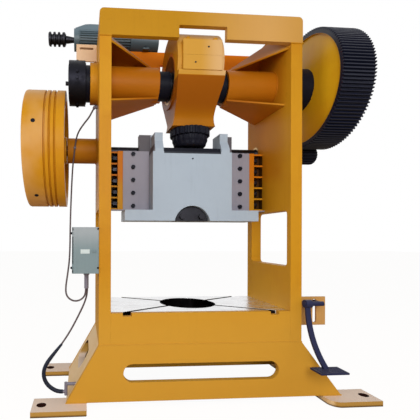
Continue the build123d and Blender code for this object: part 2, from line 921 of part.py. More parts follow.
def ratchet_ring():
    """Ribbed adjusting ring on the screw, flanged above and tapered below."""
    flange_bottom = rod_bottom_z - ratchet_flange_height
    taper_top = ratchet_bottom_z + 36
    ring = turned_z(
        [
            (screw_radius, ratchet_bottom_z),
            (ratchet_radius - 24, ratchet_bottom_z),
            (ratchet_radius - 8, taper_top),
            (ratchet_radius - 8, flange_bottom - 6),
            (ratchet_flange_radius, flange_bottom),
            (ratchet_flange_radius, rod_bottom_z - side_play / 4),
            (screw_radius, rod_bottom_z - side_play / 4),
        ],
        0,
        crank_y,
    )
    rib_height = flange_bottom - taper_top
    for spot in PolarLocations(ratchet_radius - 9, ratchet_ribs):
        ring += Pos(0, crank_y, taper_top + rib_height / 2) * spot * Box(14, 12, rib_height)
    return ring


# Ram group


def ram():
    body = block(-ram_half_width, ram_half_width, ram_front_y, ram_back_y, ram_bottom_z, ram_face_top_z)
    body += block(-wing_half_width, wing_half_width, gib_front_y + 30, ram_back_y, ram_bottom_z, wing_top_z)
    w = ram_flange_half_width
    body += block(-w, w, ram_front_y, ram_back_y, ram_bottom_z, ram_flange_top_z)
    ear_side = slab_x(
        ear_inner,
        ear_outer,
        polygon(
            (ram_front_y, ram_face_top_z - 60),
            (ram_front_y, ram_face_top_z + 20),
            (ear_front_y, ear_top_z - 60),
            (ear_front_y, ear_top_z),
            (ram_back_y - 60, ear_top_z),
            (ram_back_y - 60, ram_face_top_z - 60),
        ),
    )
    flank = slab_y(
        ram_front_y,
        ram_back_y,
        polygon(
            (ear_inner, ram_face_top_z - 60),
            (ear_inner, ear_top_z),
            (ear_outer, ear_top_z),
            (ear_outer, ram_face_top_z + 70),
            (ram_half_width, ram_face_top_z - 20),
            (ram_half_width, ram_face_top_z - 60),
        ),
    )
    thick_ear = slab_x(
        ear_inner,
        ram_half_width,
        polygon(
            (ram_front_y, ram_face_top_z - 60),
            (ram_front_y, ram_face_top_z + 20),
            (ear_front_y, ear_top_z - 60),
            (ear_front_y, ear_top_z),
            (ram_back_y - 60, ear_top_z),
            (ram_back_y - 60, ram_face_top_z - 60),
        ),
    )
    ear = ear_side + (thick_ear & flank)
    lug = block(ear_outer - 20, lug_outer, gib_front_y + 30, ram_back_y, ram_face_top_z - 40, lug_top_z)
    body += ear + lug + mirrored(ear + lug)
    well_side = ball_radius + 4
    well_back = crank_y + crank_throw + ball_radius + 3
    well_bottom = ball_z - ball_radius - pivot_clearance
    body -= block(-well_side, well_side, crank_y - well_side, well_back, well_bottom, ram_face_top_z)
    body -= rod_y(ram_front_y, ram_front_y + 150, 0, ram_bottom_z - 22, shank_recess_radius)
    return body


def ball_retainer():
    """Black plate between the ears that closes the ball well, slotted for the neck."""
    w = ear_inner - 3
    plate = block(-w, w, ram_front_y + 16, ram_back_y - 55, ram_face_top_z, ram_face_top_z + retainer_height)
    gap = neck_radius + 4
    back = crank_y + crank_throw + gap
    return plate - block(-gap, gap, crank_y - gap, back, ram_face_top_z, ram_face_top_z + retainer_height)


def shank_clamp():
    """Half-round clamp block in the recess of the ram, with its shank bore half below."""
    block_front = ram_front_y + 26
    clamp = rod_y(block_front, ram_front_y + 150, 0, ram_bottom_z - 22, shank_recess_radius - 8)
    clamp -= block(-200, 200, 0, 600, ram_bottom_z - 300, ram_bottom_z)
    return clamp - rod_z(ram_bottom_z, ram_bottom_z + 80, 0, ram_front_y + 88, 30)


def clamp_bolts():
    heads = []
    for x in (-72, 72):
        front = ram_front_y + 26
        heads.append(hexagon_y(front - 22, front, x, ram_bottom_z + 34, 40))
    return Compound(heads)


# Gibs


def gib_bar_right():
    """Backing bar with its rear lip and comb of ribs to the side plate, closed at the back."""
    wall = inner_half - seam_gap
    bar = block(gib_bar_inner, gib_bar_outer, gib_front_y + 4, ram_back_y + 25, gib_bottom_z, gib_top_z)
    lip_top = shaft_z - shaft_radius - 20
    bar += block(gib_bar_inner - 50, gib_bar_inner, ram_back_y + guide_play, ram_back_y + 25, gib_bottom_z, lip_top)
    bar += block(gib_bar_outer, wall, ram_back_y - comb_rib, ram_back_y, gib_bottom_z, gib_top_z)
    for z in comb_z():
        bar += block(gib_bar_outer, wall, gib_front_y + 24, ram_back_y, z, z + comb_rib)
    return bar - rod_x(gib_bar_inner, gib_bar_outer, shaft_y, shaft_z, shaft_radius + 20)


def comb_z():
    """Undersides of the comb's ribs."""
    pitch = (gib_top_z - gib_bottom_z - comb_rib) / (comb_ribs - 1)
    return [gib_bottom_z + i * pitch for i in range(comb_ribs)]


def gib_right():
    inner = ram_half_width + guide_play
    return block(inner, gib_bar_inner, gib_front_y, gib_front_y + gib_plate, gib_bottom_z, gib_top_z)


def gib_bolts():
    heads = []
    for x in (-gib_bolt_x, gib_bolt_x):
        for z in gib_bolt_z:
            heads.append(hexagon_y(gib_front_y - 14, gib_front_y, x, z, 2 * gib_bolt_radius))
    return Compound(heads)


def gib_screws():
    screws = []
    pitch = comb_z()[1] - comb_z()[0]
    for bottom in comb_z()[:-1]:
        z = bottom + (pitch + comb_rib) / 2
        y = gib_front_y + 50
        screw = hexagon_x(gib_bar_outer, gib_bar_outer + 16, y, z, 40) + rod_x(gib_bar_outer, gib_bar_outer + 44, y, z, 12)
        screws += [screw, mirrored(screw)]
    return Compound(screws)


def gib_ledges():
    top = gib_bottom_z
    ledge = block(ram_half_width + 4, inner_half, gib_front_y - 12, gib_front_y + gib_plate, top - 8, top)
    return Compound([ledge, mirrored(ledge)])


# Motor


def motor():
    """Finned foot-mounted motor with its end shields and terminal box."""
    body_left = motor_left - 40
    body_right = motor_right + 40
    body = rod_x(-body_left, -body_right, motor_y, motor_z, motor_radius - 10)
    fin_length = body_left - body_right - 20
    centre_x = -(body_left + body_right) / 2
    for spot in PolarLocations(motor_radius - 8, 28):
        body += Pos(centre_x, motor_y, motor_z) * Rot(0, 90, 0) * spot * Box(20, 4, fin_length)
    body += rod_x(-motor_left, -body_left, motor_y, motor_z, motor_radius)
    body += rod_x(-body_right, -motor_right, motor_y, motor_z, motor_radius - 4)
    for x in (-body_left + 60, -body_right - 90):
        body += block(x, x + 50, motor_y - 75, motor_y + 85, frame_height, frame_height + 14)
        body += block(x, x + 50, motor_y - 55, motor_y + 55, frame_height + 10, motor_z - 40)
    box_z = motor_z + motor_radius + 14
    cover = polygon(
        (-motor_left + 12, motor_z + 40),
        (-motor_left + 12, box_z - 34),
        (-motor_left + 90, box_z - 4),
        (-motor_left + 130, box_z),
        (-motor_left + 240, box_z),
        (-motor_left + 240, motor_z + 40),
    )
    body += slab_y(motor_y - 66, motor_y + 30, cover)
    return body - rod_x(-motor_left, -motor_left + 60, motor_y, motor_z, motor_shaft_radius + running_fit)


def motor_pulley():
    """Motor shaft end with its three-groove pulley."""
    points = [(-motor_left + 58, 0), (-motor_left + 58, motor_shaft_radius), (-motor_pulley_right, motor_shaft_radius)]
    top = motor_pulley_radius
    points += [(-motor_pulley_right, top - 16), (-motor_pulley_right - 10, top)]
    for i in range(belt_grooves):
        x = -(motor_groove_first + i * belt_groove_pitch)
        half = belt_groove_width / 2 + 3
        points += [(x + half, top), (x + half / 2, top - 16), (x - half / 2, top - 16), (x - half, top)]
    points += [(-motor_pulley_left + 8, top), (-motor_pulley_left, top - 8), (-motor_pulley_left, 0)]
    return turned_x(points, motor_y, motor_z)


def motor_bracket():
    """Motor shelf level with the top of the frame, with a slotted apron over the left side plate."""
    left = -motor_left + 20
    right = -motor_right + 50
    front = motor_y - 105
    back = frame_depth + 22
    wall = -half_width - seam_gap
    low = frame_height - motor_deck_thickness
    apron_bottom = frame_height - 132
    shelf = block(left, wall, front, back, low, frame_height)
    shelf += block(left, right, frame_depth + seam_gap, back, low, frame_height)
    shelf += block(-inner_half + seam_gap, right, rear_plate_y + rear_plate_thickness + seam_gap, back, low, frame_height)
    shelf += block(left, wall, front, front + 14, apron_bottom, frame_height)
    shelf += block(wall - 16, wall, front, frame_depth, apron_bottom, frame_height)
    slot = Pos((left + wall) / 2, frame_height - 32) * SlotOverall(110, 16)
    return shelf - slab_y(front - 1, front + 15, slot)


# Switch box


def box_body():
    x0 = -box_left
    x1 = -half_width
    back = box_front_y + box_depth
    shell = block(x0, x1, box_front_y, back, box_bottom_z, box_top_z)
    shell -= block(x0 + box_wall, x1 - box_wall, box_front_y, back - box_wall, box_bottom_z + box_wall, box_top_z - box_wall)
    return shell


def box_door():
    x0 = -box_left
    x1 = -half_width
    front = box_front_y - door_thickness
    door = block(x0 + 9, x1 - 1, front, box_front_y - seam_gap, box_bottom_z + 1, box_top_z - 1)
    lip = block(x0 + 24, x1 - 24, front + 2, box_front_y, box_bottom_z + 20, box_top_z - 20)
    door -= lip
    for z in (box_bottom_z + 44, box_top_z - 44):
        door += rod_z(z - 20, z + 20, x0 + 4, box_front_y - 5, 4)
        door += block(x0 + 4, x0 + 12, box_front_y - 9, box_front_y - 5, z - 20, z + 20)
    return door


def box_lock():
    """Round lock with its key slot."""
    front = box_front_y - door_thickness
    lock = rod_y(front - 7, front, lock_x, lock_z, lock_radius)
    return lock - block(lock_x - 6, lock_x + 6, front - 7, front - 4, lock_z - 1, lock_z + 1)


# Cables and their fittings


def cable(name, route):
    """Round cable along its route; each arc is as large as its two runs allow."""
    points = [Vector(*p) for p in route]
    radii = []
    for before, here, after in zip(points, points[1:], points[2:]):
        shorter = min((here - before).length, (after - here).length)
        half_turn = radians((here - before).get_angle(after - here)) / 2
        radii.append(0.45 * shorter / tan(half_turn))
    path = FilletPolyline(*points, radius=radii)
    section = Plane(origin=points[0], z_dir=points[1] - points[0]) * Circle(cable_diameter / 2)
    tube = sweep(section, path)
    expected = pi * cable_diameter ** 2 / 4 * path.length
    print(name, "length", round(path.length), "radii", [round(r) for r in radii], "volume", round(tube.volume / expected, 4))
    return tube


def cable_fittings():
    """Glands, box conduit, clip and base elbow that hold the cables."""
    start = Vector(*upper_cable_route[0])
    back = (start - Vector(*upper_cable_route[1])).normalized()
    gland = Plane(origin=start, z_dir=back) * Pos(0, 0, upper_gland_length / 2) * Cylinder(upper_gland_radius, upper_gland_length)
    seat = start + back * upper_gland_length
    upper = gland + rod_x(seat.X - 3, -half_width, seat.Y, seat.Z - 4, upper_gland_radius + 2)
    upper -= block(-half_width, half_width, 0, frame_depth, flare_top, frame_height)
    nut = slab_z(box_bottom_z - gland_nut_height, box_bottom_z, Pos(conduit_x, conduit_y) * RegularPolygon(20, 6))
    conduit = rod_z(conduit_end_z, box_bottom_z, conduit_x, conduit_y, conduit_radius) + nut
    clear = cable_diameter / 2 + cable_clip_play
    clip_z0 = shaft_z - cable_clip_width / 2
    clip_z1 = shaft_z + cable_clip_width / 2
    clip = rod_z(clip_z0, clip_z1, cable_clip_x, cable_clip_y, clear + cable_clip_thickness)
    foot_y = shaft_y - shaft_housing_radius + 4
    clip += block(cable_clip_x - 7, cable_clip_x + 7, cable_clip_y, foot_y, clip_z0, clip_z1)
    clip -= rod_z(clip_z0, clip_z1, cable_clip_x, cable_clip_y, clear)
    clip -= rod_x(cable_clip_x - 40, cable_clip_x + 40, shaft_y, shaft_z, shaft_housing_radius + seam_gap)
    top_z = base_entry_z + 62
    body = rod_z(base_entry_z - 24, top_z, base_gland_x, base_gland_y, base_gland_radius)
    body += rod_x(base_entry_x, base_gland_x, base_gland_y, base_entry_z, cable_diameter - 1)
    edge_x = base_offset - base_bottom_half + (top_z - foot_thickness) / (flare_top - foot_thickness) * (
        base_bottom_half - base_offset - half_width
    )
    body += rod_x(base_gland_x, edge_x + 20, base_gland_y, top_z - base_gland_radius, base_gland_radius)
    body -= flare_plate_at(-1)
    return Compound([upper, conduit, clip, body.solids().sort_by(Axis.X)[0]])


# Pedal


def pedal_bracket():
    """Slotted plate and its foot on the right side plate."""
    x0 = half_width
    x1 = half_width + pedal_bracket_width
    y1 = pedal_bracket_y + pedal_bracket_plate
    low = pedal_bracket_bottom
    high = pedal_bracket_top
    plate = block(x0, x1, pedal_bracket_y, y1, low, high)
    slot = Pos(half_width + 128, (low + high) / 2) * Rot(0, 0, 90) * SlotOverall(high - low - 33, 27)
    plate -= slab_y(pedal_bracket_y, y1, slot)
    return plate + block(x0, x0 + pedal_bracket_plate, y1, y1 + 90, low, high)


def pedal_pivot():
    """Fixed pivot bar across the front of the bracket on its two lugs."""
    bar = rod_x(half_width + 2, half_width + 138, pedal_pivot_y, pedal_pivot_z, pedal_pivot_radius)
    for x in (half_width + 62, half_width + 112):
        bar += block(x, x + 14, pedal_pivot_y, pedal_bracket_y, pedal_pivot_z - 14, pedal_pivot_z + 14)
    return bar


def pedal_lever():
    """Bent lever with its pivot eye and foot plate."""
    x0 = half_width + 6
    eye = rod_x(x0, x0 + 44, pedal_pivot_y, pedal_pivot_z, pedal_pivot_radius + 12)
    top = pedal_plate_bottom + pedal_plate_thickness
    path = Spline(
        (x0 + 22, pedal_pivot_y, pedal_pivot_z),
        (x0 + 26, pedal_pivot_y - 18, top + 258),
        (x0 + 50, pedal_pivot_y - 50, top + 118),
        (x0 + 92, pedal_pivot_y - 88, top),
    )
    section = Plane(origin=path @ 0, z_dir=path % 0, x_dir=(1, 0, 0)) * RectangleRounded(34, 20, 4)
    arm = sweep(section, path)
    plate = block(x0 + 4, x0 + 194, pedal_pivot_y - 166, pedal_pivot_y - 54, pedal_plate_bottom, top)
    lever = eye + arm + plate
    return lever - rod_x(x0, x0 + 44, pedal_pivot_y, pedal_pivot_z, pedal_pivot_radius + running_fit)


write("side_plate_right", side_plate_right() + crown_pin())
write("side_plate_left", mirrored(side_plate_right()))
write("crown_front_plate", crown_front_plate())
write("crown_rear_plate", crown_rear_plate())
write("table_front_plate", table_front_plate())
write("table_rear_plate", table_rear_plate())
write("table_ribs", table_ribs())
write("base_front_plate", base_plate(-front_proud, front_plate - front_proud))
write("base_rear_plate", base_plate(frame_depth - front_plate + front_proud, frame_depth + front_proud))
write("flare_plate_left", flare_plate_at(-1))
write("flare_plate_right", flare_plate_at(1))
write("feet_left", feet_at(-1))
write("feet_right", feet_at(1))
write("bolster_plate", bolster_plate())
write("crank_housing_left", crank_housing_left())
write("crank_housing_right", crank_housing_right())
write("crank_bushes", crank_bushes())
write("shaft_housing_left", shaft_housing(-shaft_housing_left_end, -half_width))
write("shaft_housing_right", shaft_housing(half_width, shaft_housing_right_end))
write("shaft_bushes", shaft_bushes())
write("crankshaft", crankshaft())
write("crank_collars", crank_collars())
write("crank_end_plate", crank_end_plate())
write("brake_drum", brake_drum())
write("brake_band", brake_band())
write("bull_gear", bull_gear())
write("clutch_ring", clutch_ring())
write("pinion", pinion())
write("drive_shaft", drive_shaft())
write("flywheel", flywheel())
write("shaft_end_plate", shaft_end_plate())
write("conrod", conrod())
write("conrod_cap", conrod_cap())
write("cap_bolts", cap_bolts())
write("conrod_bush", conrod_bush())
write("adjusting_screw", adjusting_screw())
write("ratchet_ring", ratchet_ring())
write("ram", ram())
write("ball_retainer", ball_retainer())
write("shank_clamp", shank_clamp())
write("clamp_bolts", clamp_bolts())
write("gib_bar_right", gib_bar_right())
write("gib_bar_left", mirrored(gib_bar_right()))
write("gib_right", gib_right())
write("gib_left", mirrored(gib_right()))
write("gib_bolts", gib_bolts())
write("gib_screws", gib_screws())
write("gib_ledges", gib_ledges())
write("motor", motor())
write("motor_pulley", motor_pulley())
write("motor_bracket", motor_bracket())
write("box_body", box_body())
write("box_door", box_door())
write("box_lock", box_lock())
write("cable_fittings", cable_fittings())
write("upper_cable", cable("upper_cable", upper_cable_route))
write("lower_cable", cable("lower_cable", lower_cable_route))
write("pedal_bracket", pedal_bracket())
write("pedal_pivot", pedal_pivot())
write("pedal_lever", pedal_lever())
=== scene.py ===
"""Looks of a stamping press: enamel, steel, cables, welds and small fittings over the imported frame."""

import json
import math

import bmesh
import bpy
from mathutils import Matrix, Vector


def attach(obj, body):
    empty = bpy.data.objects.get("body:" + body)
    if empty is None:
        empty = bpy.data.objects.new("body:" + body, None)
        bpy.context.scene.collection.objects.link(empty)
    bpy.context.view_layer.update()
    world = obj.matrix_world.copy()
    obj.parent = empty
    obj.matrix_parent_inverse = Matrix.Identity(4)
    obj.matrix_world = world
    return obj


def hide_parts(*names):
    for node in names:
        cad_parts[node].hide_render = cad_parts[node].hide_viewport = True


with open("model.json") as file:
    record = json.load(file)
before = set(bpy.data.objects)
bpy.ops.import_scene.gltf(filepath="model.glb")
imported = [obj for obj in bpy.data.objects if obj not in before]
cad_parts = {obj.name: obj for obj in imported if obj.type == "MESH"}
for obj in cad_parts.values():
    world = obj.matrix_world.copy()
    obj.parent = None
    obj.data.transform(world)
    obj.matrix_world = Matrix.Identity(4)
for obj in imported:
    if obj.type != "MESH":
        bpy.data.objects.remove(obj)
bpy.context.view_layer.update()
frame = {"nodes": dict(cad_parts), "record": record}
nodes = frame["nodes"]

# Press dimensions in millimetres: X from the ram centreline, Y from the front of the side plates, Z up.
base_offset = 35.0
frame_depth = 633.0
frame_height = 2645.0
half_width = 700.0
plate_thickness = 80.0
crank_y = 295.0
crank_z = 2263.0
shaft_y = 510.0
shaft_z = 1817.13
gear_rim_inner_radius = 394.1
ram_front_y = 216.0
motor_y = 560.0
motor_z = 2733.0
gib_bar_outer = 541.0
gib_screw_y = 411.0
lowest_gib_screw_z = 1389.3
gib_screw_pitch = 87.6
gib_screw_z = [lowest_gib_screw_z + gib_screw_pitch * i for i in range(5)]

# The same faces in metres, for the materials
inner_face = (half_width - plate_thickness) / 1000
outer_face = half_width / 1000
bar_face = gib_bar_outer / 1000


def at(x, y, z):
    """A place given in press millimetres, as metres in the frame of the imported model."""
    return Vector(((x - base_offset) / 1000, (y - frame_depth / 2) / 1000, z / 1000))


# Camera


def set_camera():
    """Level camera at chest height left of the press, with the frame shifted over to it."""
    picture = 420
    focal_pixels = 352.47
    centre_column = 107.88
    centre_row = 237.10
    sensor = 36.0
    place = at(-809.13, -2328.5, 1129.66)
    yaw = 0.0721
    pitch = -0.0006
    roll = 0.0028
    forward = Vector((math.sin(yaw) * math.cos(pitch), math.cos(yaw) * math.cos(pitch), math.sin(pitch)))
    level = Vector((math.cos(yaw), -math.sin(yaw), 0))
    upright = level.cross(forward)
    right = level * math.cos(roll) + upright * math.sin(roll)
    up = upright * math.cos(roll) - level * math.sin(roll)
    lens = bpy.data.cameras.new("camera")
    lens.sensor_width = sensor
    lens.lens = sensor * focal_pixels / picture
    lens.shift_x = (picture / 2 - centre_column) / picture
    lens.shift_y = (centre_row - picture / 2) / picture
    lens.clip_end = 60.0
    camera = bpy.data.objects.new("camera", lens)
    bpy.context.scene.collection.objects.link(camera)
    turn = Matrix((right, up, -forward)).transposed().to_4x4()
    camera.matrix_world = Matrix.Translation(place) @ turn
    bpy.context.scene.camera = camera


# Nodes and expressions on them


def feed(tree, socket, value):
    """Links a socket to a Signal or another socket, or gives it a plain value."""
    if isinstance(value, Signal):
        tree.links.new(value.socket, socket)
    elif isinstance(value, bpy.types.NodeSocket):
        tree.links.new(value, socket)
    else:
        socket.default_value = value


def add_node(tree, kind, settings, **inputs):
    """Any node: its settings first, then what feeds its sockets, by name or as s0, s1; a list links each."""
    made = tree.nodes.new(kind)
    for key, value in settings.items():
        setattr(made, key, value)
    for key, value in inputs.items():
        numbered = key[0] == "s" and key[1:].isdigit()
        socket = made.inputs[int(key[1:]) if numbered else key.replace("_", " ")]
        for entry in value if isinstance(value, list) else [value]:
            feed(tree, socket, entry)
    return made


def with_alpha(colour):
    """Three numbers get an alpha of 1; a socket stays as it is."""
    return (*colour, 1.0) if isinstance(colour, tuple) else colour


class Signal:
    """A value socket in a node tree; each operator on it adds one Math node."""

    def __init__(self, tree, socket):
        self.tree = tree
        self.socket = socket

    def math(self, operation, *values):
        node = add_node(self.tree, "ShaderNodeMath", {"operation": operation})
        for socket, value in zip(node.inputs, values):
            feed(self.tree, socket, value)
        return Signal(self.tree, node.outputs[0])

    def __add__(self, other):
        return self.math("ADD", self, other)

    def __radd__(self, other):
        return self.math("ADD", other, self)

    def __sub__(self, other):
        return self.math("SUBTRACT", self, other)

    def __rsub__(self, other):
        return self.math("SUBTRACT", other, self)

    def __mul__(self, other):
        return self.math("MULTIPLY", self, other)

    def __rmul__(self, other):
        return self.math("MULTIPLY", other, self)

    def __pow__(self, other):
        return self.math("POWER", self, other)

    def __neg__(self):
        return self.math("MULTIPLY", self, -1.0)

    def absolute(self):
        return self.math("ABSOLUTE", self)

    def most(self, other):
        return self.math("MAXIMUM", self, other)

    def above(self, low, high):
        """0 below low and 1 above high, smooth in between."""
        settings = {"interpolation_type": "SMOOTHSTEP"}
        ramp = add_node(self.tree, "ShaderNodeMapRange", settings, Value=self, From_Min=low, From_Max=high)
        return Signal(self.tree, ramp.outputs["Result"])

    def below(self, low, high):
        """1 below low and 0 above high, smooth in between."""
        return 1.0 - self.above(low, high)


class Finish:
    """One material: a Principled shader and the nodes that feed it."""

    def __init__(self, name, metallic=0.0):
        self.material = bpy.data.materials.new(name)
        self.material.use_nodes = True
        self.tree = self.material.node_tree
        self.tree.nodes.clear()
        self.shader = self.node("ShaderNodeBsdfPrincipled", {}, Metallic=metallic)
        self.node("ShaderNodeOutputMaterial", {}, Surface=self.shader.outputs[0])
        self.place = self.node("ShaderNodeTexCoord", {}).outputs["Object"]

    def node(self, kind, settings, **inputs):
        return add_node(self.tree, kind, settings, **inputs)

    def stretched(self, x, y, z):
        """Object coordinates, scaled along each axis."""
        return self.node("ShaderNodeMapping", {}, Vector=self.place, Scale=(x, y, z)).outputs[0]

    def noise(self, scale, detail, rough=0.55, where=None, shift=0.0):
        """Clouds from 0 to 1; a shift takes them from another part of the pattern."""
        where = self.place if where is None else where
        if shift:
            move = (shift, shift * 1.7, shift * 0.6)
            where = self.node("ShaderNodeVectorMath", {"operation": "ADD"}, s0=where, s1=move).outputs[0]
        made = self.node("ShaderNodeTexNoise", {}, Vector=where, Scale=scale, Detail=detail, Roughness=rough)
        return Signal(self.tree, made.outputs[0])

    def cells(self, scale):
        """Distance to the nearest cell point."""
        made = self.node("ShaderNodeTexVoronoi", {}, Vector=self.place, Scale=scale)
        return Signal(self.tree, made.outputs["Distance"])

    def part(self, vector, axis):
        """One coordinate of a vector."""
        split = self.node("ShaderNodeSeparateXYZ", {}, Vector=vector)
        return Signal(self.tree, split.outputs["XYZ".index(axis)])

    def facing(self, axis):
        """How far the surface faces along an axis, from -1 to 1."""
        return self.part(self.node("ShaderNodeNewGeometry", {}).outputs["Normal"], axis)

    def along(self, axis):
        """Object coordinate along an axis, in metres."""
        return self.part(self.place, axis)

    def from_centreline(self):
        """Distance to either side of the ram's centreline, in metres."""
        return (self.along("X") + base_offset / 1000).absolute()

    def inside(self, low, high, soft=0.002):
        """1 within a box given in metres, 0 outside it."""
        held = 1.0
        for axis, first, last in zip("XYZ", low, high):
            value = self.along(axis)
            held = held * (value.above(first - soft, first) * value.below(last, last + soft))
        return held

    def edges(self, radius):
        """How far a corner turns the rounded normal away, 0 on flats, and that normal."""
        rounded = self.node("ShaderNodeBevel", {"samples": 4}, Radius=radius).outputs[0]
        normal = self.node("ShaderNodeNewGeometry", {}).outputs["Normal"]
        dot = self.node("ShaderNodeVectorMath", {"operation": "DOT_PRODUCT"}, s0=rounded, s1=normal)
        return 1.0 - Signal(self.tree, dot.outputs["Value"]), rounded

    def mix(self, factor, first, second):
        """A blend of two colours, each three numbers or a socket."""
        colours = {"s6": with_alpha(first), "s7": with_alpha(second)}
        return self.node("ShaderNodeMix", {"data_type": "RGBA"}, s0=factor, **colours).outputs[2]

    def bump(self, height, distance, strength, under=None):
        """Relief over the plain normal, or over another one."""
        made = self.node("ShaderNodeBump", {}, Height=height, Distance=distance, Strength=strength)
        if under is not None:
            feed(self.tree, made.inputs["Normal"], under)
        return made.outputs[0]

    def done(self, colour, roughness, normal):
        """Feeds the shader and gives the material."""
        for key, value in (("Base Color", colour), ("Roughness", roughness), ("Normal", normal)):
            feed(self.tree, self.shader.inputs[key], value)
        return self.material


# Paints

frame_yellow = (0.59, 0.275, 0.012)
frame_deep = (0.47, 0.17, 0.006)
# Near-black painted shade for the inside of the base, the undersides of the base ends and the foundation
# holes
hollow_shade = (0.06, 0.018, 0.012)
settled_dust = (0.55, 0.48, 0.38)
# Dark brown for a band just above the floor
near_floor_dark = (0.045, 0.02, 0.01)
# Near-black painted shade for the gaps of the combs
gap_shade = (0.03, 0.011, 0.005)


def shade(colour, factor):
    """The same colour, darker."""
    return tuple(part * factor for part in colour)


def rubbed(colour, factor):
    """The brighter colour of a rubbed corner."""
    return tuple(min(1.0, part * factor + 0.02) for part in colour)


def enamel(name, colour, deep, gloss=0.36, shine=0.1, dust=0.1, chips=True, wear_and_painted_light=None):
    """Brushed machine enamel on welded plate: clouded colour, thin dust on top faces, worn corners."""
    paint = Finish(name)
    paint.shader.inputs["Specular IOR Level"].default_value = shine
    clouds = paint.noise(2.2, 4.0, 0.6).above(0.35, 0.7)
    base = paint.mix(clouds * 0.4, colour, deep)
    streaks = paint.noise(7.0, 3.0, 0.6, paint.stretched(6.0, 6.0, 0.5), shift=3.1).above(0.52, 0.8)
    base = paint.mix(streaks * 0.14, base, shade(deep, 0.7))
    grime = paint.noise(16.0, 5.0, 0.7, shift=8.3).above(0.58, 0.8)
    base = paint.mix(grime * 0.14, base, shade(deep, 0.45))
    corner, rounded = paint.edges(0.004)
    if chips:
        worn = corner.above(0.02, 0.2) * paint.noise(60.0, 4.0, 0.7).above(0.48, 0.62)
        base = paint.mix(worn * 0.3, base, rubbed(colour, 1.2))
    settled = paint.facing("Z").above(0.6, 1.0) * paint.noise(9.0, 4.0, 0.6, shift=5.0).above(0.2, 0.75)
    base = paint.mix(settled * dust, base, settled_dust)
    # the part's own marks, and painted light and shade, from its hook
    if wear_and_painted_light:
        base = wear_and_painted_light(paint, base)
    # darker brown band just above the floor
    near_floor = paint.along("Z").below(0.003, 0.016)
    base = paint.mix(near_floor * 0.8, base, near_floor_dark)
    roughness = gloss + 0.16 * paint.noise(5.0, 4.0, 0.6, shift=1.3) + 0.1 * grime
    peel = paint.noise(240.0, 2.0, 0.5)
    waves = paint.noise(3.0, 2.0, 0.5, shift=2.0)
    normal = paint.bump(peel * 0.25 + waves * 3.0, 0.0009, 0.5, rounded)
    return paint.done(base, roughness, normal)


def painted_shade_round_plates(paint, base):
    """Painted shade: deeper, redder enamel between the side plates, and on the upper rear of their outer
    faces.
    """
    side, depth = paint.from_centreline(), paint.along("Y")
    upper = paint.along("Z").above(1.5, 1.62)
    between = depth.above(-0.30, -0.14) * upper * side.below(inner_face - 0.002, inner_face + 0.002)
    between_shade = paint.mix(depth.above(-0.12, 0.1), (0.42, 0.118, 0.003), (0.62, 0.17, 0.004))
    base = paint.mix(between * 0.85, base, between_shade)
    # painted shade on the upper rear of the outer faces, round the housings
    outside = side.above(outer_face + 0.0005, outer_face + 0.002) * upper * depth.above(-0.2, 0.0)
    return paint.mix(outside * 0.6, base, (0.42, 0.12, 0.004))


def crown_rear(paint, base):
    """The rear crown plate is bright orange, apart from its back and its top."""
    rear = paint.along("Y").above(0.17, 0.21) * paint.along("Z").above(2.2, 2.3)
    rear = rear * paint.from_centreline().below(inner_face, inner_face + 0.002)
    rear = rear * paint.facing("Y").below(0.2, 0.6) * paint.facing("Z").below(0.5, 0.8)
    return paint.mix(rear, base, (0.98, 0.26, 0.004))


def comb_gaps(paint, base):
    """Painted shade: near-black in the gaps of the combs between the gib bars and the side plates."""
    side, depth, height = paint.from_centreline(), paint.along("Y"), paint.along("Z")
    gaps = side.above(bar_face + 0.0002, bar_face + 0.0015)
    gaps = gaps * side.below(inner_face + 0.0005, inner_face + 0.003)
    gaps = gaps * depth.above(0.0695, 0.0735) * depth.below(0.1385, 0.141)
    gaps = gaps * height.above(1.341, 1.344) * height.below(1.786, 1.789)
    return paint.mix(gaps * 0.92, base, gap_shade)


def base_inside(paint, base):
    """Painted shade: the inside of the base is near-black, and the outer faces of the side plates stay
    yellow.
    """
    base_low = (-0.9, -0.2775, 0.02)
    base_high = (0.83, 0.2775, 0.531)
    hollow = paint.inside(base_low, base_high)
    flank = paint.from_centreline().above(outer_face - 0.0015, outer_face - 0.0005)
    flank = flank * paint.along("Z").above(0.385, 0.40)
    return paint.mix(hollow * (1.0 - flank), base, hollow_shade)


def frame_tone_and_painted_shade(paint, base):
    """The frame's enamel: painted shade round and between the side plates, in the comb gaps and inside the
    base, and the bright rear crown plate, over a browner yellow near the floor.
    """
    low = paint.along("Z").below(0.4, 0.95)
    base = paint.mix(low * 0.8, base, (0.64, 0.33, 0.04))
    for wear_and_painted_light in (painted_shade_round_plates, crown_rear, comb_gaps, base_inside):
        base = wear_and_painted_light(paint, base)
    return base


def rod_painted_light_and_shade(paint, base):
    """Painted glare on the front of the cap, paler towards its right, and painted shade on the rod below it,
    lighter towards the foot.
    """
    cap_joint = 2.24
    height = paint.along("Z")
    front = (-paint.facing("Y")).above(0.6, 0.9)
    painted_light = paint.mix(paint.along("X").above(-0.06, 0.09), (0.60, 0.33, 0.06), (0.72, 0.48, 0.24))
    base = paint.mix(height.above(cap_joint - 0.004, cap_joint) * front * 0.7, base, painted_light)
    # painted shade: dark brown on the rod below the cap joint, lighter again towards the foot
    base = paint.mix(height.below(cap_joint - 0.008, cap_joint) * 0.95, base, (0.30, 0.08, 0.002))
    return paint.mix(height.below(1.96, 2.1) * 0.7, base, (0.44, 0.165, 0.002))


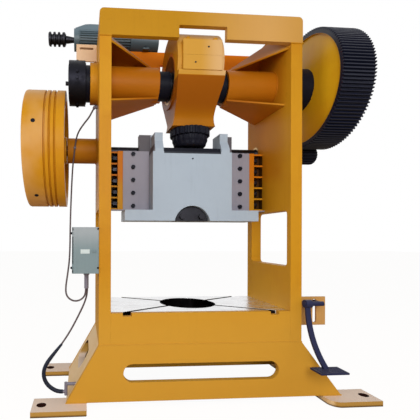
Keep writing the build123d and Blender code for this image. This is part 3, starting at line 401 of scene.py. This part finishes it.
def ram_dark_band_and_lug_shade(paint, base):
    """Near-black band along the top edge of the ram, and painted shade on the lugs behind its ears."""
    side, height = paint.from_centreline(), paint.along("Z")
    ears = side.above(0.212, 0.216) * side.below(0.296, 0.299)
    brim = height.above(1.743, 1.748) * height.below(1.762, 1.764) * (1.0 - ears)
    lugs = side.above(0.279, 0.281) * height.above(1.757, 1.760)
    # painted shade on the lugs behind the ears
    base = paint.mix(lugs * 0.85, base, (0.085, 0.062, 0.065))
    return paint.mix(brim * 0.95, base, (0.008, 0.008, 0.014))


def wheel_painted_highlight(paint, base):
    """Painted highlight: a paler band round the outer half of the flywheel's rim."""
    painted_light = paint.along("X").below(-1.13, -1.06) * paint.noise(2.6, 3.0, 0.5, shift=6.0).above(0.4, 0.65)
    return paint.mix(painted_light * 0.45, base, (0.7, 0.42, 0.2))


def base_end_painted_light_and_shade(paint, base):
    """Painted light on the top faces of the feet, browner fronts, and painted shade on the undersides of the
    base ends and on the walls of the foundation holes.
    """
    hole_x, hole_y, hole_radius = 1.107, 0.3315, 0.0312
    # painted light: pale top faces
    base = paint.mix(paint.facing("Z").above(0.4, 0.9) * 0.8, base, (0.78, 0.64, 0.56))
    front = (-paint.facing("Y")).above(0.6, 0.9)
    base = paint.mix(front * 0.9, base, (0.46, 0.24, 0.035))
    # painted shade on the undersides
    base = paint.mix(paint.facing("Z").below(-0.5, -0.3), base, hollow_shade)
    # painted shade on the walls of the foundation holes
    across = paint.along("X").absolute() - hole_x
    back = paint.along("Y").absolute() - hole_y
    hole = (across * across + back * back).below(hole_radius ** 2, (hole_radius + 0.001) ** 2)
    return paint.mix(hole, base, shade(hollow_shade, 0.5))


def crown_painted_glare(paint, base):
    """Painted glare: the crown is paler towards its right end."""
    across = paint.along("X")
    painted_light = across.above(-0.25, 0.45) * (1.0 - 0.4 * across.above(0.4, 0.7))
    return paint.mix(painted_light * 0.55, base, (0.72, 0.42, 0.17))


def box_paler_top(paint, base):
    """The switch box is paler towards its top."""
    return paint.mix(paint.along("Z").above(1.02, 1.19) * 0.6, base, (0.44, 0.46, 0.49))


def motor_lower_painted_shade(paint, base):
    """Painted shade darkens the lower half of the motor."""
    return paint.mix(paint.along("Z").below(2.69, 2.79) * 0.5, base, (0.012, 0.022, 0.022))


def gear_wear(paint, base):
    """The bull gear's rim and teeth are painted blue-black over the yellow of its web."""
    centre = at(0, crank_y, crank_z)
    across = paint.along("Y") - centre.y
    up = paint.along("Z") - centre.z
    radius = (across * across + up * up) ** 0.5
    edge = gear_rim_inner_radius / 1000
    return paint.mix(radius.above(edge + 0.0005, edge + 0.002), base, (0.006, 0.008, 0.022))


def paints():
    return {
        "frame_paint": enamel("frame_enamel", frame_yellow, frame_deep, wear_and_painted_light=frame_tone_and_painted_shade),
        "rod_paint": enamel("rod_enamel", frame_yellow, frame_deep, gloss=0.3, wear_and_painted_light=rod_painted_light_and_shade),
        "wheel_paint": enamel(
            "flywheel_enamel", (0.60, 0.27, 0.010), (0.50, 0.17, 0.006), gloss=0.3, wear_and_painted_light=wheel_painted_highlight
        ),
        "crown_paint": enamel("crown_enamel", (0.50, 0.245, 0.010), (0.44, 0.20, 0.008), wear_and_painted_light=crown_painted_glare),
        "flare_paint": enamel(
            "base_end_enamel", (0.82, 0.60, 0.33), (0.74, 0.45, 0.16), dust=0.35, wear_and_painted_light=base_end_painted_light_and_shade
        ),
        "gear_paint": enamel(
            "gear_enamel", (0.70, 0.39, 0.010), (0.60, 0.25, 0.006), gloss=0.26, shine=0.3, wear_and_painted_light=gear_wear
        ),
        "ram_paint": enamel("ram_enamel", (0.42, 0.50, 0.59), (0.37, 0.44, 0.53), dust=0.05, wear_and_painted_light=ram_dark_band_and_lug_shade),
        "gib_paint": enamel("gib_enamel", (0.33, 0.32, 0.38), (0.25, 0.24, 0.29), dust=0.05),
        "black_paint": enamel(
            "black_enamel", (0.007, 0.008, 0.016), (0.004, 0.004, 0.008), dust=0.02, chips=False
        ),
        "cream_paint": enamel("cream_enamel", (0.82, 0.56, 0.36), (0.66, 0.40, 0.18)),
        "motor_paint": enamel(
            "motor_enamel", (0.13, 0.19, 0.23), (0.08, 0.125, 0.15), gloss=0.34, shine=0.4, wear_and_painted_light=motor_lower_painted_shade
        ),
        "box_paint": enamel(
            "box_enamel", (0.22, 0.29, 0.31), (0.19, 0.25, 0.27), chips=False, wear_and_painted_light=box_paler_top
        ),
        "bracket_paint": enamel("bracket_enamel", (0.60, 0.33, 0.11), (0.50, 0.24, 0.06)),
        "pedal_paint": enamel("pedal_enamel", (0.028, 0.032, 0.085), (0.012, 0.015, 0.04)),
    }


# Metals, plastics and rubber


def turned_steel(name, colour, gloss=0.34, axis="X"):
    """Turned or ground steel: fine lines round an axis, faint oil stains."""
    steel = Finish(name, metallic=1.0)
    stretch = [420.0 if axis == each else 2.0 for each in "XYZ"]
    lines = steel.noise(1.0, 2.0, 0.5, steel.stretched(*stretch))
    stains = steel.noise(12.0, 4.0, 0.65, shift=4.0).above(0.45, 0.75)
    base = steel.mix(lines * 0.5, colour, shade(colour, 0.72))
    base = steel.mix(stains * 0.4, base, shade(colour, 0.45))
    corner, rounded = steel.edges(0.0025)
    base = steel.mix(corner.above(0.02, 0.25) * 0.35, base, rubbed(colour, 1.6))
    roughness = gloss + 0.2 * stains + 0.1 * lines
    return steel.done(base, roughness, steel.bump(lines, 0.0003, 0.35, rounded))


def machined_top(name):
    """Planed and ground bolster: fine tool marks, wiped oil, small nicks, and painted shade that makes its
    slots and hole black.
    """
    steel = Finish(name, metallic=1.0)
    planed = steel.noise(1.0, 2.0, 0.5, steel.stretched(3.0, 520.0, 3.0))
    wiped = steel.noise(6.0, 4.0, 0.6, steel.stretched(1.0, 2.6, 1.0), shift=2.0).above(0.4, 0.75)
    nicks = steel.cells(38.0).below(0.02, 0.07)
    rust = steel.noise(4.0, 5.0, 0.7, shift=7.0).above(0.6, 0.78)
    base = steel.mix(planed * 0.3, (0.84, 0.84, 0.85), (0.7, 0.7, 0.71))
    base = steel.mix(wiped * 0.2, base, (0.55, 0.55, 0.56))
    base = steel.mix(rust * 0.1, base, (0.5, 0.4, 0.3))
    below_top_low = (-0.652, -0.274, 0.5)
    below_top_high = (0.582, 0.3125, 0.6205)
    # near-black painted shade below the top face, in the slots and the hole
    slot_shade = steel.inside(below_top_low, below_top_high, 0.001)
    base = steel.mix(slot_shade, base, (0.012, 0.011, 0.012))
    rounded = steel.edges(0.003)[1]
    roughness = 0.26 + 0.2 * wiped + 0.25 * rust
    return steel.done(base, roughness, steel.bump(planed - nicks * 0.6, 0.0004, 0.4, rounded))


def bronze(name):
    """Turned bronze with films of oil."""
    metal = Finish(name, metallic=1.0)
    lines = metal.noise(1.0, 2.0, 0.5, metal.stretched(300.0, 4.0, 4.0))
    oil = metal.noise(18.0, 4.0).above(0.4, 0.7)
    base = metal.mix(oil * 0.4, (0.55, 0.35, 0.14), (0.25, 0.15, 0.07))
    return metal.done(base, 0.28 + 0.2 * oil, metal.bump(lines, 0.0002, 0.3))


def moulded(name, colour):
    """Moulded plastic with a fine grain."""
    plastic = Finish(name)
    grain = plastic.cells(700.0)
    clouds = plastic.noise(20.0, 3.0).above(0.3, 0.7)
    base = plastic.mix(clouds * 0.3, colour, shade(colour, 0.7))
    return plastic.done(base, 0.42 + 0.16 * clouds, plastic.bump(grain, 0.0002, 0.4))


def sheath(name, colour, dust=0.35):
    """Cable sheath: matt, dusty along its upper side."""
    rubber = Finish(name)
    rubber.shader.inputs["Specular IOR Level"].default_value = 0.2
    dusty = rubber.facing("Z").above(-0.2, 0.9) * rubber.noise(30.0, 3.0).above(0.3, 0.7)
    base = rubber.mix(dusty * dust, colour, (0.3, 0.28, 0.27))
    grain = rubber.noise(300.0, 2.0, 0.5)
    return rubber.done(base, 0.45 + 0.2 * dusty, rubber.bump(grain, 0.0002, 0.4))


def bare_finishes():
    return {
        "machined_steel": machined_top("ground_steel"),
        "dark_steel": turned_steel("oiled_steel", (0.03, 0.03, 0.036)),
        "bolt_steel": turned_steel("bolt_steel", (0.34, 0.34, 0.36), axis="Y"),
        "band_steel": turned_steel("brake_strip_steel", (0.018, 0.018, 0.024), gloss=0.42, axis="Z"),
        "bush_bronze": bronze("bush_bronze"),
        "fitting_plastic": moulded("fitting_plastic", (0.19, 0.175, 0.225)),
        "hose_rubber": sheath("hose_rubber", (0.010, 0.014, 0.03), dust=0.03),
        "label_metal": moulded("bare_label", (0.58, 0.66, 0.66)),
        "cable_rubber": sheath("cable_sheath", (0.10, 0.075, 0.08)),
    }


finishes = {**paints(), **bare_finishes()}


# Dressing of nodes and pieces

own_finishes = {
    "gib_screws": "dark_steel",
    "gib_bolts": "black_paint",
    "box_lock": "box_paint",
    "pinion": "black_paint",
    "cap_bolts": "frame_paint",
    "conrod": "rod_paint",
    "conrod_cap": "rod_paint",
    "flywheel": "wheel_paint",
    "pedal_bracket": "bracket_paint",
}


def dress_frame():
    """Every node keeps its mesh and takes the finish of its slot, or its own."""
    for entry in frame["record"]["subparts"]:
        node = nodes[entry["node"]]
        node.data.materials.clear()
        node.data.materials.append(finishes[own_finishes.get(entry["node"], entry["material_slot"])])


def dress(piece, slot, finish=None):
    """Gives a piece the slot's finish, or one of its own."""
    piece.data.materials.clear()
    piece.data.materials.append(finishes[finish or slot])


def rigid(name, mesh, slot, body, finish=None):
    """A finished mesh as a piece of a body."""
    mesh.name = name
    piece = bpy.data.objects.new(name, mesh)
    bpy.context.scene.collection.objects.link(piece)
    dress(piece, slot, finish)
    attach(piece, body)
    return piece


def plain_mesh(source):
    """The mesh that an object ends as; the object itself is removed."""
    seen = source.evaluated_get(bpy.context.evaluated_depsgraph_get())
    mesh = bpy.data.meshes.new_from_object(seen)
    source.modifiers.clear()
    bpy.data.objects.remove(source)
    return mesh


# Cables

# In metres; the hose starts at a point of the lower route, counted from 0
cable_diameter = 0.012
hose_radius = 0.0135
hose_start = 5

# Control points in press millimetres
upper_route = [
    (-728, 300, 2083), (-741, 303, 2061), (-761, 309, 2023), (-803, 333, 1978), (-844, 370, 1927),
    (-861, 396, 1873), (-869, 404, 1817), (-875, 401, 1755), (-884, 392, 1680), (-890, 372, 1560),
    (-894, 340, 1435.5), (-897, 298, 1310), (-898, 248, 1184.5), (-897, 196, 1070.4), (-899, 146, 969.8),
    (-907, 112, 895.1), (-914, 92, 842.2), (-921, 82, 792), (-920, 75, 744), (-902, 73, 713),
    (-871, 72, 695), (-835, 72, 695), (-804, 72, 713), (-786, 72, 744), (-786, 72, 780),
]
lower_route = [
    (-775, 82, 780), (-775, 82, 745), (-791, 81, 685), (-831, 77, 601), (-884, 72, 500),
    (-946, 68, 405), (-1020, 64, 318), (-1062, 61, 252), (-1068, 60, 192), (-1044, 60, 138),
    (-1000, 60, 102), (-962, 60, 88), (-938, 60, 88),
]


def tube(name, route, radius):
    """A smooth tube with the route's points as the control points of its NURBS line."""
    line = bpy.data.curves.new(name, "CURVE")
    line.dimensions = "3D"
    spline = line.splines.new("NURBS")
    spline.points.add(len(route) - 1)
    for point, place in zip(spline.points, route):
        point.co = (*at(*place), 1.0)
    spline.order_u = 3
    spline.use_endpoint_u = True
    spline.resolution_u = 10
    line.bevel_depth = radius
    line.bevel_resolution = 5
    line.use_fill_caps = True
    piece = bpy.data.objects.new(name, line)
    bpy.context.scene.collection.objects.link(piece)
    return piece


def hose(name, route):
    """Protective hose over a stretch of cable, drawn in at its upper end."""
    source = tube(name + "_source", route, hose_radius)
    source.data.splines[0].points[0].radius = 0.6
    return rigid(name, plain_mesh(source), "cable_rubber", "frame", "hose_rubber")


def cable(name, route, node):
    """A sheathed cable on its route, fixed at both of its ends."""
    piece = tube(name, route, cable_diameter / 2)
    dress(piece, "cable_rubber")
    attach(piece, "frame")
    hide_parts(node)
    at(*route[0])


def add_cables():
    """Upper cable from the brake to the switch box, and lower cable from there into the base."""
    cable("upper_cable_line", upper_route, "upper_cable")
    cover = hose("cable_hose", lower_route[hose_start:])
    cable("lower_cable_line", lower_route, "lower_cable")


# What repeats: welds, bolts, treads


class Maker:
    """A geometry tree with named sizes, run on a path or on points."""

    def __init__(self, name, **sizes):
        self.tree = bpy.data.node_groups.new(name, "GeometryNodeTree")
        face = self.tree.interface
        face.new_socket("Geometry", in_out="INPUT", socket_type="NodeSocketGeometry")
        face.new_socket("Geometry", in_out="OUTPUT", socket_type="NodeSocketGeometry")
        self.sockets = {}
        for key, value in sizes.items():
            socket = face.new_socket(key, in_out="INPUT", socket_type="NodeSocketFloat")
            socket.default_value = value
            self.sockets[key] = socket.identifier
        self.entry = self.tree.nodes.new("NodeGroupInput")
        self.start = self.entry.outputs["Geometry"]

    def size(self, key):
        """A named size as a value to reckon with."""
        return Signal(self.tree, self.entry.outputs[key])

    def node(self, kind, settings, **inputs):
        """Any node; gives its first output."""
        return add_node(self.tree, kind, settings, **inputs).outputs[0]

    def end(self, instances):
        """Realize Instances and Set Material close the tree."""
        solid = self.node("GeometryNodeRealizeInstances", {}, Geometry=instances)
        self.cover = add_node(self.tree, "GeometryNodeSetMaterial", {}, Geometry=solid)
        add_node(self.tree, "NodeGroupOutput", {}, s0=self.cover.outputs[0])

    def run(self, name, mesh, slot, body, **sizes):
        """Runs the tree on a mesh and keeps the result as a plain mesh on its body."""
        self.cover.inputs["Material"].default_value = finishes[slot]
        source = bpy.data.objects.new(name + "_source", mesh)
        bpy.context.scene.collection.objects.link(source)
        grown = source.modifiers.new("grown", "NODES")
        grown.node_group = self.tree
        for key, value in sizes.items():
            grown[self.sockets[key]] = value
        return rigid(name, plain_mesh(source), slot, body)

    def on_spots(self, name, spots, slot, body, **sizes):
        """Runs the tree on loose points at the spots."""
        return self.run(name, points(name + "_spots", spots), slot, body, **sizes)


def weld_maker():
    """Overlapping drops along a path, like the scales of a weld bead."""
    maker = Maker("weld_scales", Throat=0.005, Step=0.0042)
    curve = maker.node("GeometryNodeMeshToCurve", {}, Mesh=maker.start)
    by_length = {"mode": "LENGTH"}
    even = maker.node("GeometryNodeResampleCurve", by_length, Curve=curve, Length=maker.size("Step"))
    drop = maker.node("GeometryNodeMeshUVSphere", {}, Segments=8, Rings=5, Radius=maker.size("Throat"))
    smooth = maker.node("GeometryNodeSetShadeSmooth", {}, Geometry=drop)
    maker.end(maker.node("GeometryNodeInstanceOnPoints", {}, Points=even, Instance=smooth))
    return maker


def bolt_maker(sides):
    """Head on a washer, set on each point along its direction."""
    washer = 0.003
    maker = Maker("bolt_heads", Radius=0.01, Height=0.008)
    radius, height = maker.size("Radius"), maker.size("Height")
    lift = maker.node("ShaderNodeCombineXYZ", {}, Z=height * 0.5 + washer / 2)
    head = maker.node("GeometryNodeMeshCylinder", {}, Vertices=sides, Radius=radius, Depth=height)
    raised = maker.node("GeometryNodeTransform", {}, Geometry=head, Translation=lift)
    disc = maker.node("GeometryNodeMeshCylinder", {}, Vertices=20, Radius=radius * 1.35, Depth=washer)
    both = maker.node("GeometryNodeJoinGeometry", {}, Geometry=[raised, disc])
    towards = maker.node("GeometryNodeInputNamedAttribute", {"data_type": "FLOAT_VECTOR"}, Name="direction")
    aligned = maker.node("FunctionNodeAlignRotationToVector", {"axis": "Z"}, Vector=towards)
    placed = {"Points": maker.start, "Instance": both, "Rotation": aligned}
    maker.end(maker.node("GeometryNodeInstanceOnPoints", {}, **placed))
    return maker


def paths(name, lines):
    """Loose edges through the places of each line."""
    mesh = bpy.data.meshes.new(name)
    places, edges = [], []
    for line in lines:
        first = len(places)
        places += [at(*place) for place in line]
        edges += [(first + i, first + i + 1) for i in range(len(line) - 1)]
    mesh.from_pydata(places, edges, [])
    return mesh


def points(name, spots):
    """Loose points, each with the direction that its bolt faces."""
    mesh = bpy.data.meshes.new(name)
    mesh.from_pydata([at(*place) for place, towards in spots], [], [])
    direction = mesh.attributes.new("direction", "FLOAT_VECTOR", "POINT")
    for index, (place, towards) in enumerate(spots):
        direction.data[index].vector = towards
    return mesh


def ring_line(x, y, z, radius):
    """Circle about an axis along X."""
    steps = 72
    turns = [2 * math.pi * i / steps for i in range(steps + 1)]
    return [(x, y + radius * math.cos(turn), z + radius * math.sin(turn)) for turn in turns]


def spots_round(x, y, z, radius, angles):
    """Spots round an axis along X, facing away from it; at 0 degrees to the back, at 90 upwards."""
    spots = []
    for angle in angles:
        turn = math.radians(angle)
        outwards = (0, math.cos(turn), math.sin(turn))
        spots.append(((x, y + radius * outwards[1], z + radius * outwards[2]), outwards))
    return spots


def add_welds():
    """Beads where plates, housings, webs and feet meet."""
    bead = 2
    inner = half_width - plate_thickness - bead
    outer = half_width + bead
    crown_foot = frame_height - 178
    base_top = 411
    inner_housing, outer_housing, shaft_housing = 130, 148, 100
    web_top = [(20, 2449), (264, 2619), (326, 2619), (515, 2449)]
    web_foot = [(73, 2074), (517, 2074)]
    foot_start, foot_end, foot_top = 816, 948, 38
    bracket_y, bracket_low, bracket_high = 51, 512, 711
    lines = [[(-half_width, -1, base_top), (half_width, -1, base_top)]]
    for side in (-1, 1):
        lines.append([(side * x, -bead, crown_foot) for x in (half_width, half_width - plate_thickness)])
        lines.append(ring_line(side * inner, crank_y, crank_z, inner_housing))
        lines.append(ring_line(side * outer, crank_y, crank_z, outer_housing))
        lines.append(ring_line(side * outer, shaft_y, shaft_z, shaft_housing))
        for web in (web_top, web_foot):
            lines.append([(side * inner, y, z) for y, z in web])
        for y in (-7, frame_depth + 7):
            lines.append([(base_offset + side * x, y, foot_top) for x in (foot_start, foot_end)])
    lines.append([(half_width + 1, bracket_y, z) for z in (bracket_low, bracket_high)])
    weld_maker().run("weld_beads", paths("weld_lines", lines), "frame_paint", "frame")


upwards = (0, 0, 1)
to_left = (-1, 0, 0)
to_right = (1, 0, 0)
to_front = (0, -1, 0)


def add_frame_bolts(hexagon):
    """Bolts of the motor's feet, of its bracket's flange and of the pedal bracket."""
    foot_top = frame_height + 15
    flange_face = -717
    bracket_face = half_width + 15
    feet = [((x, y, foot_top), upwards) for x in (-755, -301) for y in (498, 634)]
    flange = [((flange_face, y, z), to_left) for y in (500, 600) for z in (2545, 2600)]
    bracket = [((bracket_face, y, z), to_right) for y in (100, 132) for z in (540, 684)]
    spots = feet + flange + bracket
    hexagon.on_spots("frame_bolts", spots, "dark_steel", "frame", Radius=0.011, Height=0.009)


def add_brake_bolts(hexagon):
    """Pairs of bolts at the foot, the top and the front of the brake's band."""
    band_x, band_radius = -849, 158
    spots = spots_round(band_x, crank_y, crank_z, band_radius, (-82, -98, 82, 98, 172, 188))
    hexagon.on_spots("brake_bolts", spots, "band_steel", "frame", Radius=0.010, Height=0.007)


def add_door_fittings(hexagon):
    """Two latches on the free edge of the switch box's door, and the ends of its hinges."""
    latches = [((-706, -4.5, z), to_front) for z in (925, 1183)]
    hexagon.on_spots("door_latches", latches, "black_paint", "door", Radius=0.005, Height=0.008)
    hinges = [((-879, 3, z), to_left) for z in (925, 1153)]
    hexagon.on_spots("hinge_ends", hinges, "black_paint", "frame", Radius=0.007, Height=0.007)


def add_lock_nuts(hexagon):
    """Lock nuts of the gib screws, against the outer faces of the gib bars."""
    nut_x = gib_bar_outer + 1.5
    spots = [((side * nut_x, gib_screw_y, z), (side, 0, 0)) for side in (-1, 1) for z in gib_screw_z]
    hexagon.on_spots("lock_nuts", spots, "dark_steel", "frame", Radius=0.026, Height=0.030)


def add_plugs(round_head):
    """Oil plugs of rod and ram, and plugs in the lifting holes round the flywheel."""
    oil = [((41, 2.5, 2419), to_front), ((-50, 2.5, 2312), to_front)]
    round_head.on_spots("oil_plugs", oil, "dark_steel", "conrod", Radius=0.0045, Height=0.003)
    wheel_x, hole_floor = -1145, 445.5
    angles = [167.5 + 72 * i for i in range(5)]
    lifting = spots_round(wheel_x, shaft_y, shaft_z, hole_floor, angles)
    round_head.on_spots("lifting_plugs", lifting, "black_paint", "drive_shaft", Radius=0.011, Height=0.0005)
    ram = [((0, ram_front_y - 0.5, 1708), to_front)]
    round_head.on_spots("ram_plug", ram, "dark_steel", "ram", Radius=0.0045, Height=0.003)


def add_bolts():
    """All bolt heads, nuts and plugs, from one tree with six sides and one with eighteen."""
    hexagon = bolt_maker(6)
    round_head = bolt_maker(18)
    add_frame_bolts(hexagon)
    add_brake_bolts(hexagon)
    add_door_fittings(hexagon)
    add_lock_nuts(hexagon)
    add_plugs(round_head)


def add_tread():
    """Raised ribs across the foot plate of the pedal."""
    rib_width = 0.004
    plate_x, plate_top, first_y, pitch = 805, 263, -182, 12
    maker = Maker("tread_ribs", Length=0.17, Height=0.003)
    length, height = maker.size("Length"), maker.size("Height")
    size = maker.node("ShaderNodeCombineXYZ", {}, X=length, Y=rib_width, Z=height)
    rib = maker.node("GeometryNodeMeshCube", {}, Size=size)
    maker.end(maker.node("GeometryNodeInstanceOnPoints", {}, Points=maker.start, Instance=rib))
    spots = [((plate_x, first_y + pitch * i, plate_top), upwards) for i in range(9)]
    maker.on_spots("pedal_tread", spots, "pedal_paint", "pedal")


# Pieces of their own


def add_label_plate():
    """Bare plate on the door, with its edges taken off."""
    left, right, bottom, top = -821, -761, 1019, 1047
    front_y, back_y = -5.2, -4.0
    corners = [(left, bottom), (right, bottom), (right, top), (left, top)]
    plate = bmesh.new()
    front = [plate.verts.new(at(x, front_y, z)) for x, z in corners]
    back = [plate.verts.new(at(x, back_y, z)) for x, z in corners]
    plate.faces.new(front)
    plate.faces.new(list(reversed(back)))
    for i in range(4):
        plate.faces.new((front[i], back[i], back[(i + 1) % 4], front[(i + 1) % 4]))
    bmesh.ops.recalc_face_normals(plate, faces=plate.faces)
    bmesh.ops.bevel(plate, geom=list(plate.edges), offset=0.0005, segments=2, affect="EDGES")
    mesh = bpy.data.meshes.new("label_plate")
    plate.to_mesh(mesh)
    plate.free()
    rigid("label_plate", mesh, "bolt_steel", "door", "label_metal")


def turned(name, profile, axis, centre, slot, body, steps=64, teeth=0):
    """Closed profile turned about an axis.

    A corner holds its place on the axis, its radius and, where it is toothed, the depth between teeth.
    """
    mesh = bmesh.new()
    rings = []
    for corner in profile:
        ring = []
        depth = corner[2] if len(corner) > 2 else 0.0
        for i in range(steps):
            turn = 2 * math.pi * i / steps
            gap = teeth and (i * teeth * 2 // steps) % 2
            radius = corner[1] - (depth if gap else 0.0)
            first, second = radius * math.cos(turn), radius * math.sin(turn)
            if axis == "X":
                place = at(corner[0], centre[0] + first, centre[1] + second)
            else:
                place = at(centre[0] + first, centre[1] + second, corner[0])
            ring.append(mesh.verts.new(place))
        rings.append(ring)
    for first, second in zip(rings, rings[1:] + rings[:1]):
        for i in range(steps):
            mesh.faces.new((first[i], first[(i + 1) % steps], second[(i + 1) % steps], second[i]))
    bmesh.ops.recalc_face_normals(mesh, faces=mesh.faces)
    for face in mesh.faces:
        face.smooth = True
    made = bpy.data.meshes.new(name)
    mesh.to_mesh(made)
    mesh.free()
    made.set_sharp_from_angle(angle=math.radians(35))
    return rigid(name, made, slot, body)


def add_fan_cover():
    """Cover over the motor's fan, with two ring grooves in its face."""
    face, groove, wall = -197, 2, 4
    profile = [(-425, 87.0), (-421, 88.5), (-212, 88.5), (-206, 90.0), (-198, 90.0), (face, 86.0)]
    for outer, inner in ((70.0, 62.0), (54.0, 46.0)):
        profile += [(face, outer), (face - groove, outer), (face - groove, inner), (face, inner)]
    profile += [(face, 12.0), (face - wall, 12.0), (face - wall, 87.0)]
    turned("fan_cover", profile, "X", (motor_y, motor_z), "motor_paint", "frame")


def add_pulley_hub():
    """Tapering hub of the motor's pulley."""
    outer_end, inner_end, bore = -944.5, -883, 19.6
    profile = [
        (outer_end, 20), (outer_end, 29), (-930, 28), (-890, 21.5), (inner_end, 21.5), (inner_end, bore),
        (-930, bore),
    ]
    turned("pulley_hub", profile, "X", (motor_y, motor_z), "dark_steel", "motor_rotor", steps=40)


def add_ring_collar():
    """Toothed collar at the top of the adjusting ring."""
    low, high, bore, crest, tooth = 1886, 1935, 119, 147, 9
    profile = [
        (low, bore), (low - 3, crest - 8, 6), (low, crest, tooth), (high, crest, tooth),
        (high + 3, crest - 3, 6), (high + 6, 128), (high + 6, bore),
    ]
    turned("ring_collar", profile, "Z", (0, crank_y), "black_paint", "screw", steps=144, teeth=24)


def add_ring_barrel():
    """Notched barrel of the adjusting ring, narrow at its foot."""
    foot, shoulder, top, crest, notch = 1806, 1850, 1882, 130, 5
    profile = [
        (foot, 95), (foot, 108), (foot + 10, 118), (foot + 26, 122, 3), (shoulder - 4, 128, notch),
        (shoulder, crest, notch), (top, crest, notch), (top, 119), (1840, 117),
    ]
    turned("ring_barrel", profile, "Z", (0, crank_y), "black_paint", "screw", steps=160, teeth=20)


# Floor, light and backdrop

white = (1, 1, 1, 1)


def add_floor():
    """Pale floor that keeps the shadow and looks almost white to the camera."""
    reach = 25.0
    corners = [(-reach, -reach, 0), (reach, -reach, 0), (reach, reach, 0), (-reach, reach, 0)]
    mesh = bpy.data.meshes.new("floor")
    mesh.from_pydata(corners, [], [(0, 1, 2, 3)])
    floor = bpy.data.objects.new("floor", mesh)
    bpy.context.scene.collection.objects.link(floor)
    pale = bpy.data.materials.new("pale_floor")
    pale.use_nodes = True
    tree = pale.node_tree
    tree.nodes.clear()
    matt = add_node(tree, "ShaderNodeBsdfDiffuse", {}, Color=(0.62, 0.50, 0.38, 1))
    glow = add_node(tree, "ShaderNodeEmission", {}, Color=white, Strength=1.06)
    rays = add_node(tree, "ShaderNodeLightPath", {}).outputs
    share = Signal(tree, rays["Is Camera Ray"]) * 0.9
    mix = add_node(tree, "ShaderNodeMixShader", {}, s0=share, s1=matt.outputs[0], s2=glow.outputs[0])
    add_node(tree, "ShaderNodeOutputMaterial", {}, Surface=mix.outputs[0])
    mesh.materials.append(pale)


def add_studio():
    """Soft light from all round; camera, glossy and transmission rays see plain white."""
    world = bpy.data.worlds.new("studio")
    bpy.context.scene.world = world
    world.use_nodes = True
    tree = world.node_tree
    tree.nodes.clear()
    soft = add_node(tree, "ShaderNodeBackground", {}, Color=(1.0, 0.99, 0.97, 1), Strength=0.4)
    plain = add_node(tree, "ShaderNodeBackground", {}, Color=white, Strength=1.0)
    rays = add_node(tree, "ShaderNodeLightPath", {}).outputs
    seen = Signal(tree, rays["Is Camera Ray"])
    seen = seen.most(rays["Is Glossy Ray"]).most(rays["Is Transmission Ray"])
    mix = add_node(tree, "ShaderNodeMixShader", {}, s0=seen, s1=soft.outputs[0], s2=plain.outputs[0])
    add_node(tree, "ShaderNodeOutputWorld", {}, Surface=mix.outputs[0])


def add_lamp(name, place, aim, size, watts):
    """Large soft lamp, turned to a point."""
    light = bpy.data.lights.new(name, "AREA")
    light.size = size
    light.energy = watts
    made = bpy.data.objects.new(name, light)
    bpy.context.scene.collection.objects.link(made)
    made.location = place
    made.rotation_euler = (Vector(aim) - Vector(place)).to_track_quat("-Z", "Y").to_euler()


bpy.context.scene.view_settings.view_transform = "Standard"
set_camera()
add_floor()
add_studio()
add_lamp("front_lamp", place=(-0.6, -4.8, 2.6), aim=(0.0, 0.0, 1.3), size=2.6, watts=135.0)
add_lamp("left_lamp", place=(-4.4, -1.6, 2.0), aim=(-0.3, 0.0, 1.2), size=2.0, watts=45.0)
add_lamp("right_lamp", place=(4.4, -1.8, 2.4), aim=(0.3, 0.0, 1.2), size=2.0, watts=40.0)
dress_frame()
add_cables()
add_welds()
add_bolts()
add_label_plate()
add_fan_cover()
add_pulley_hub()
add_ring_collar()
add_ring_barrel()
add_tread()
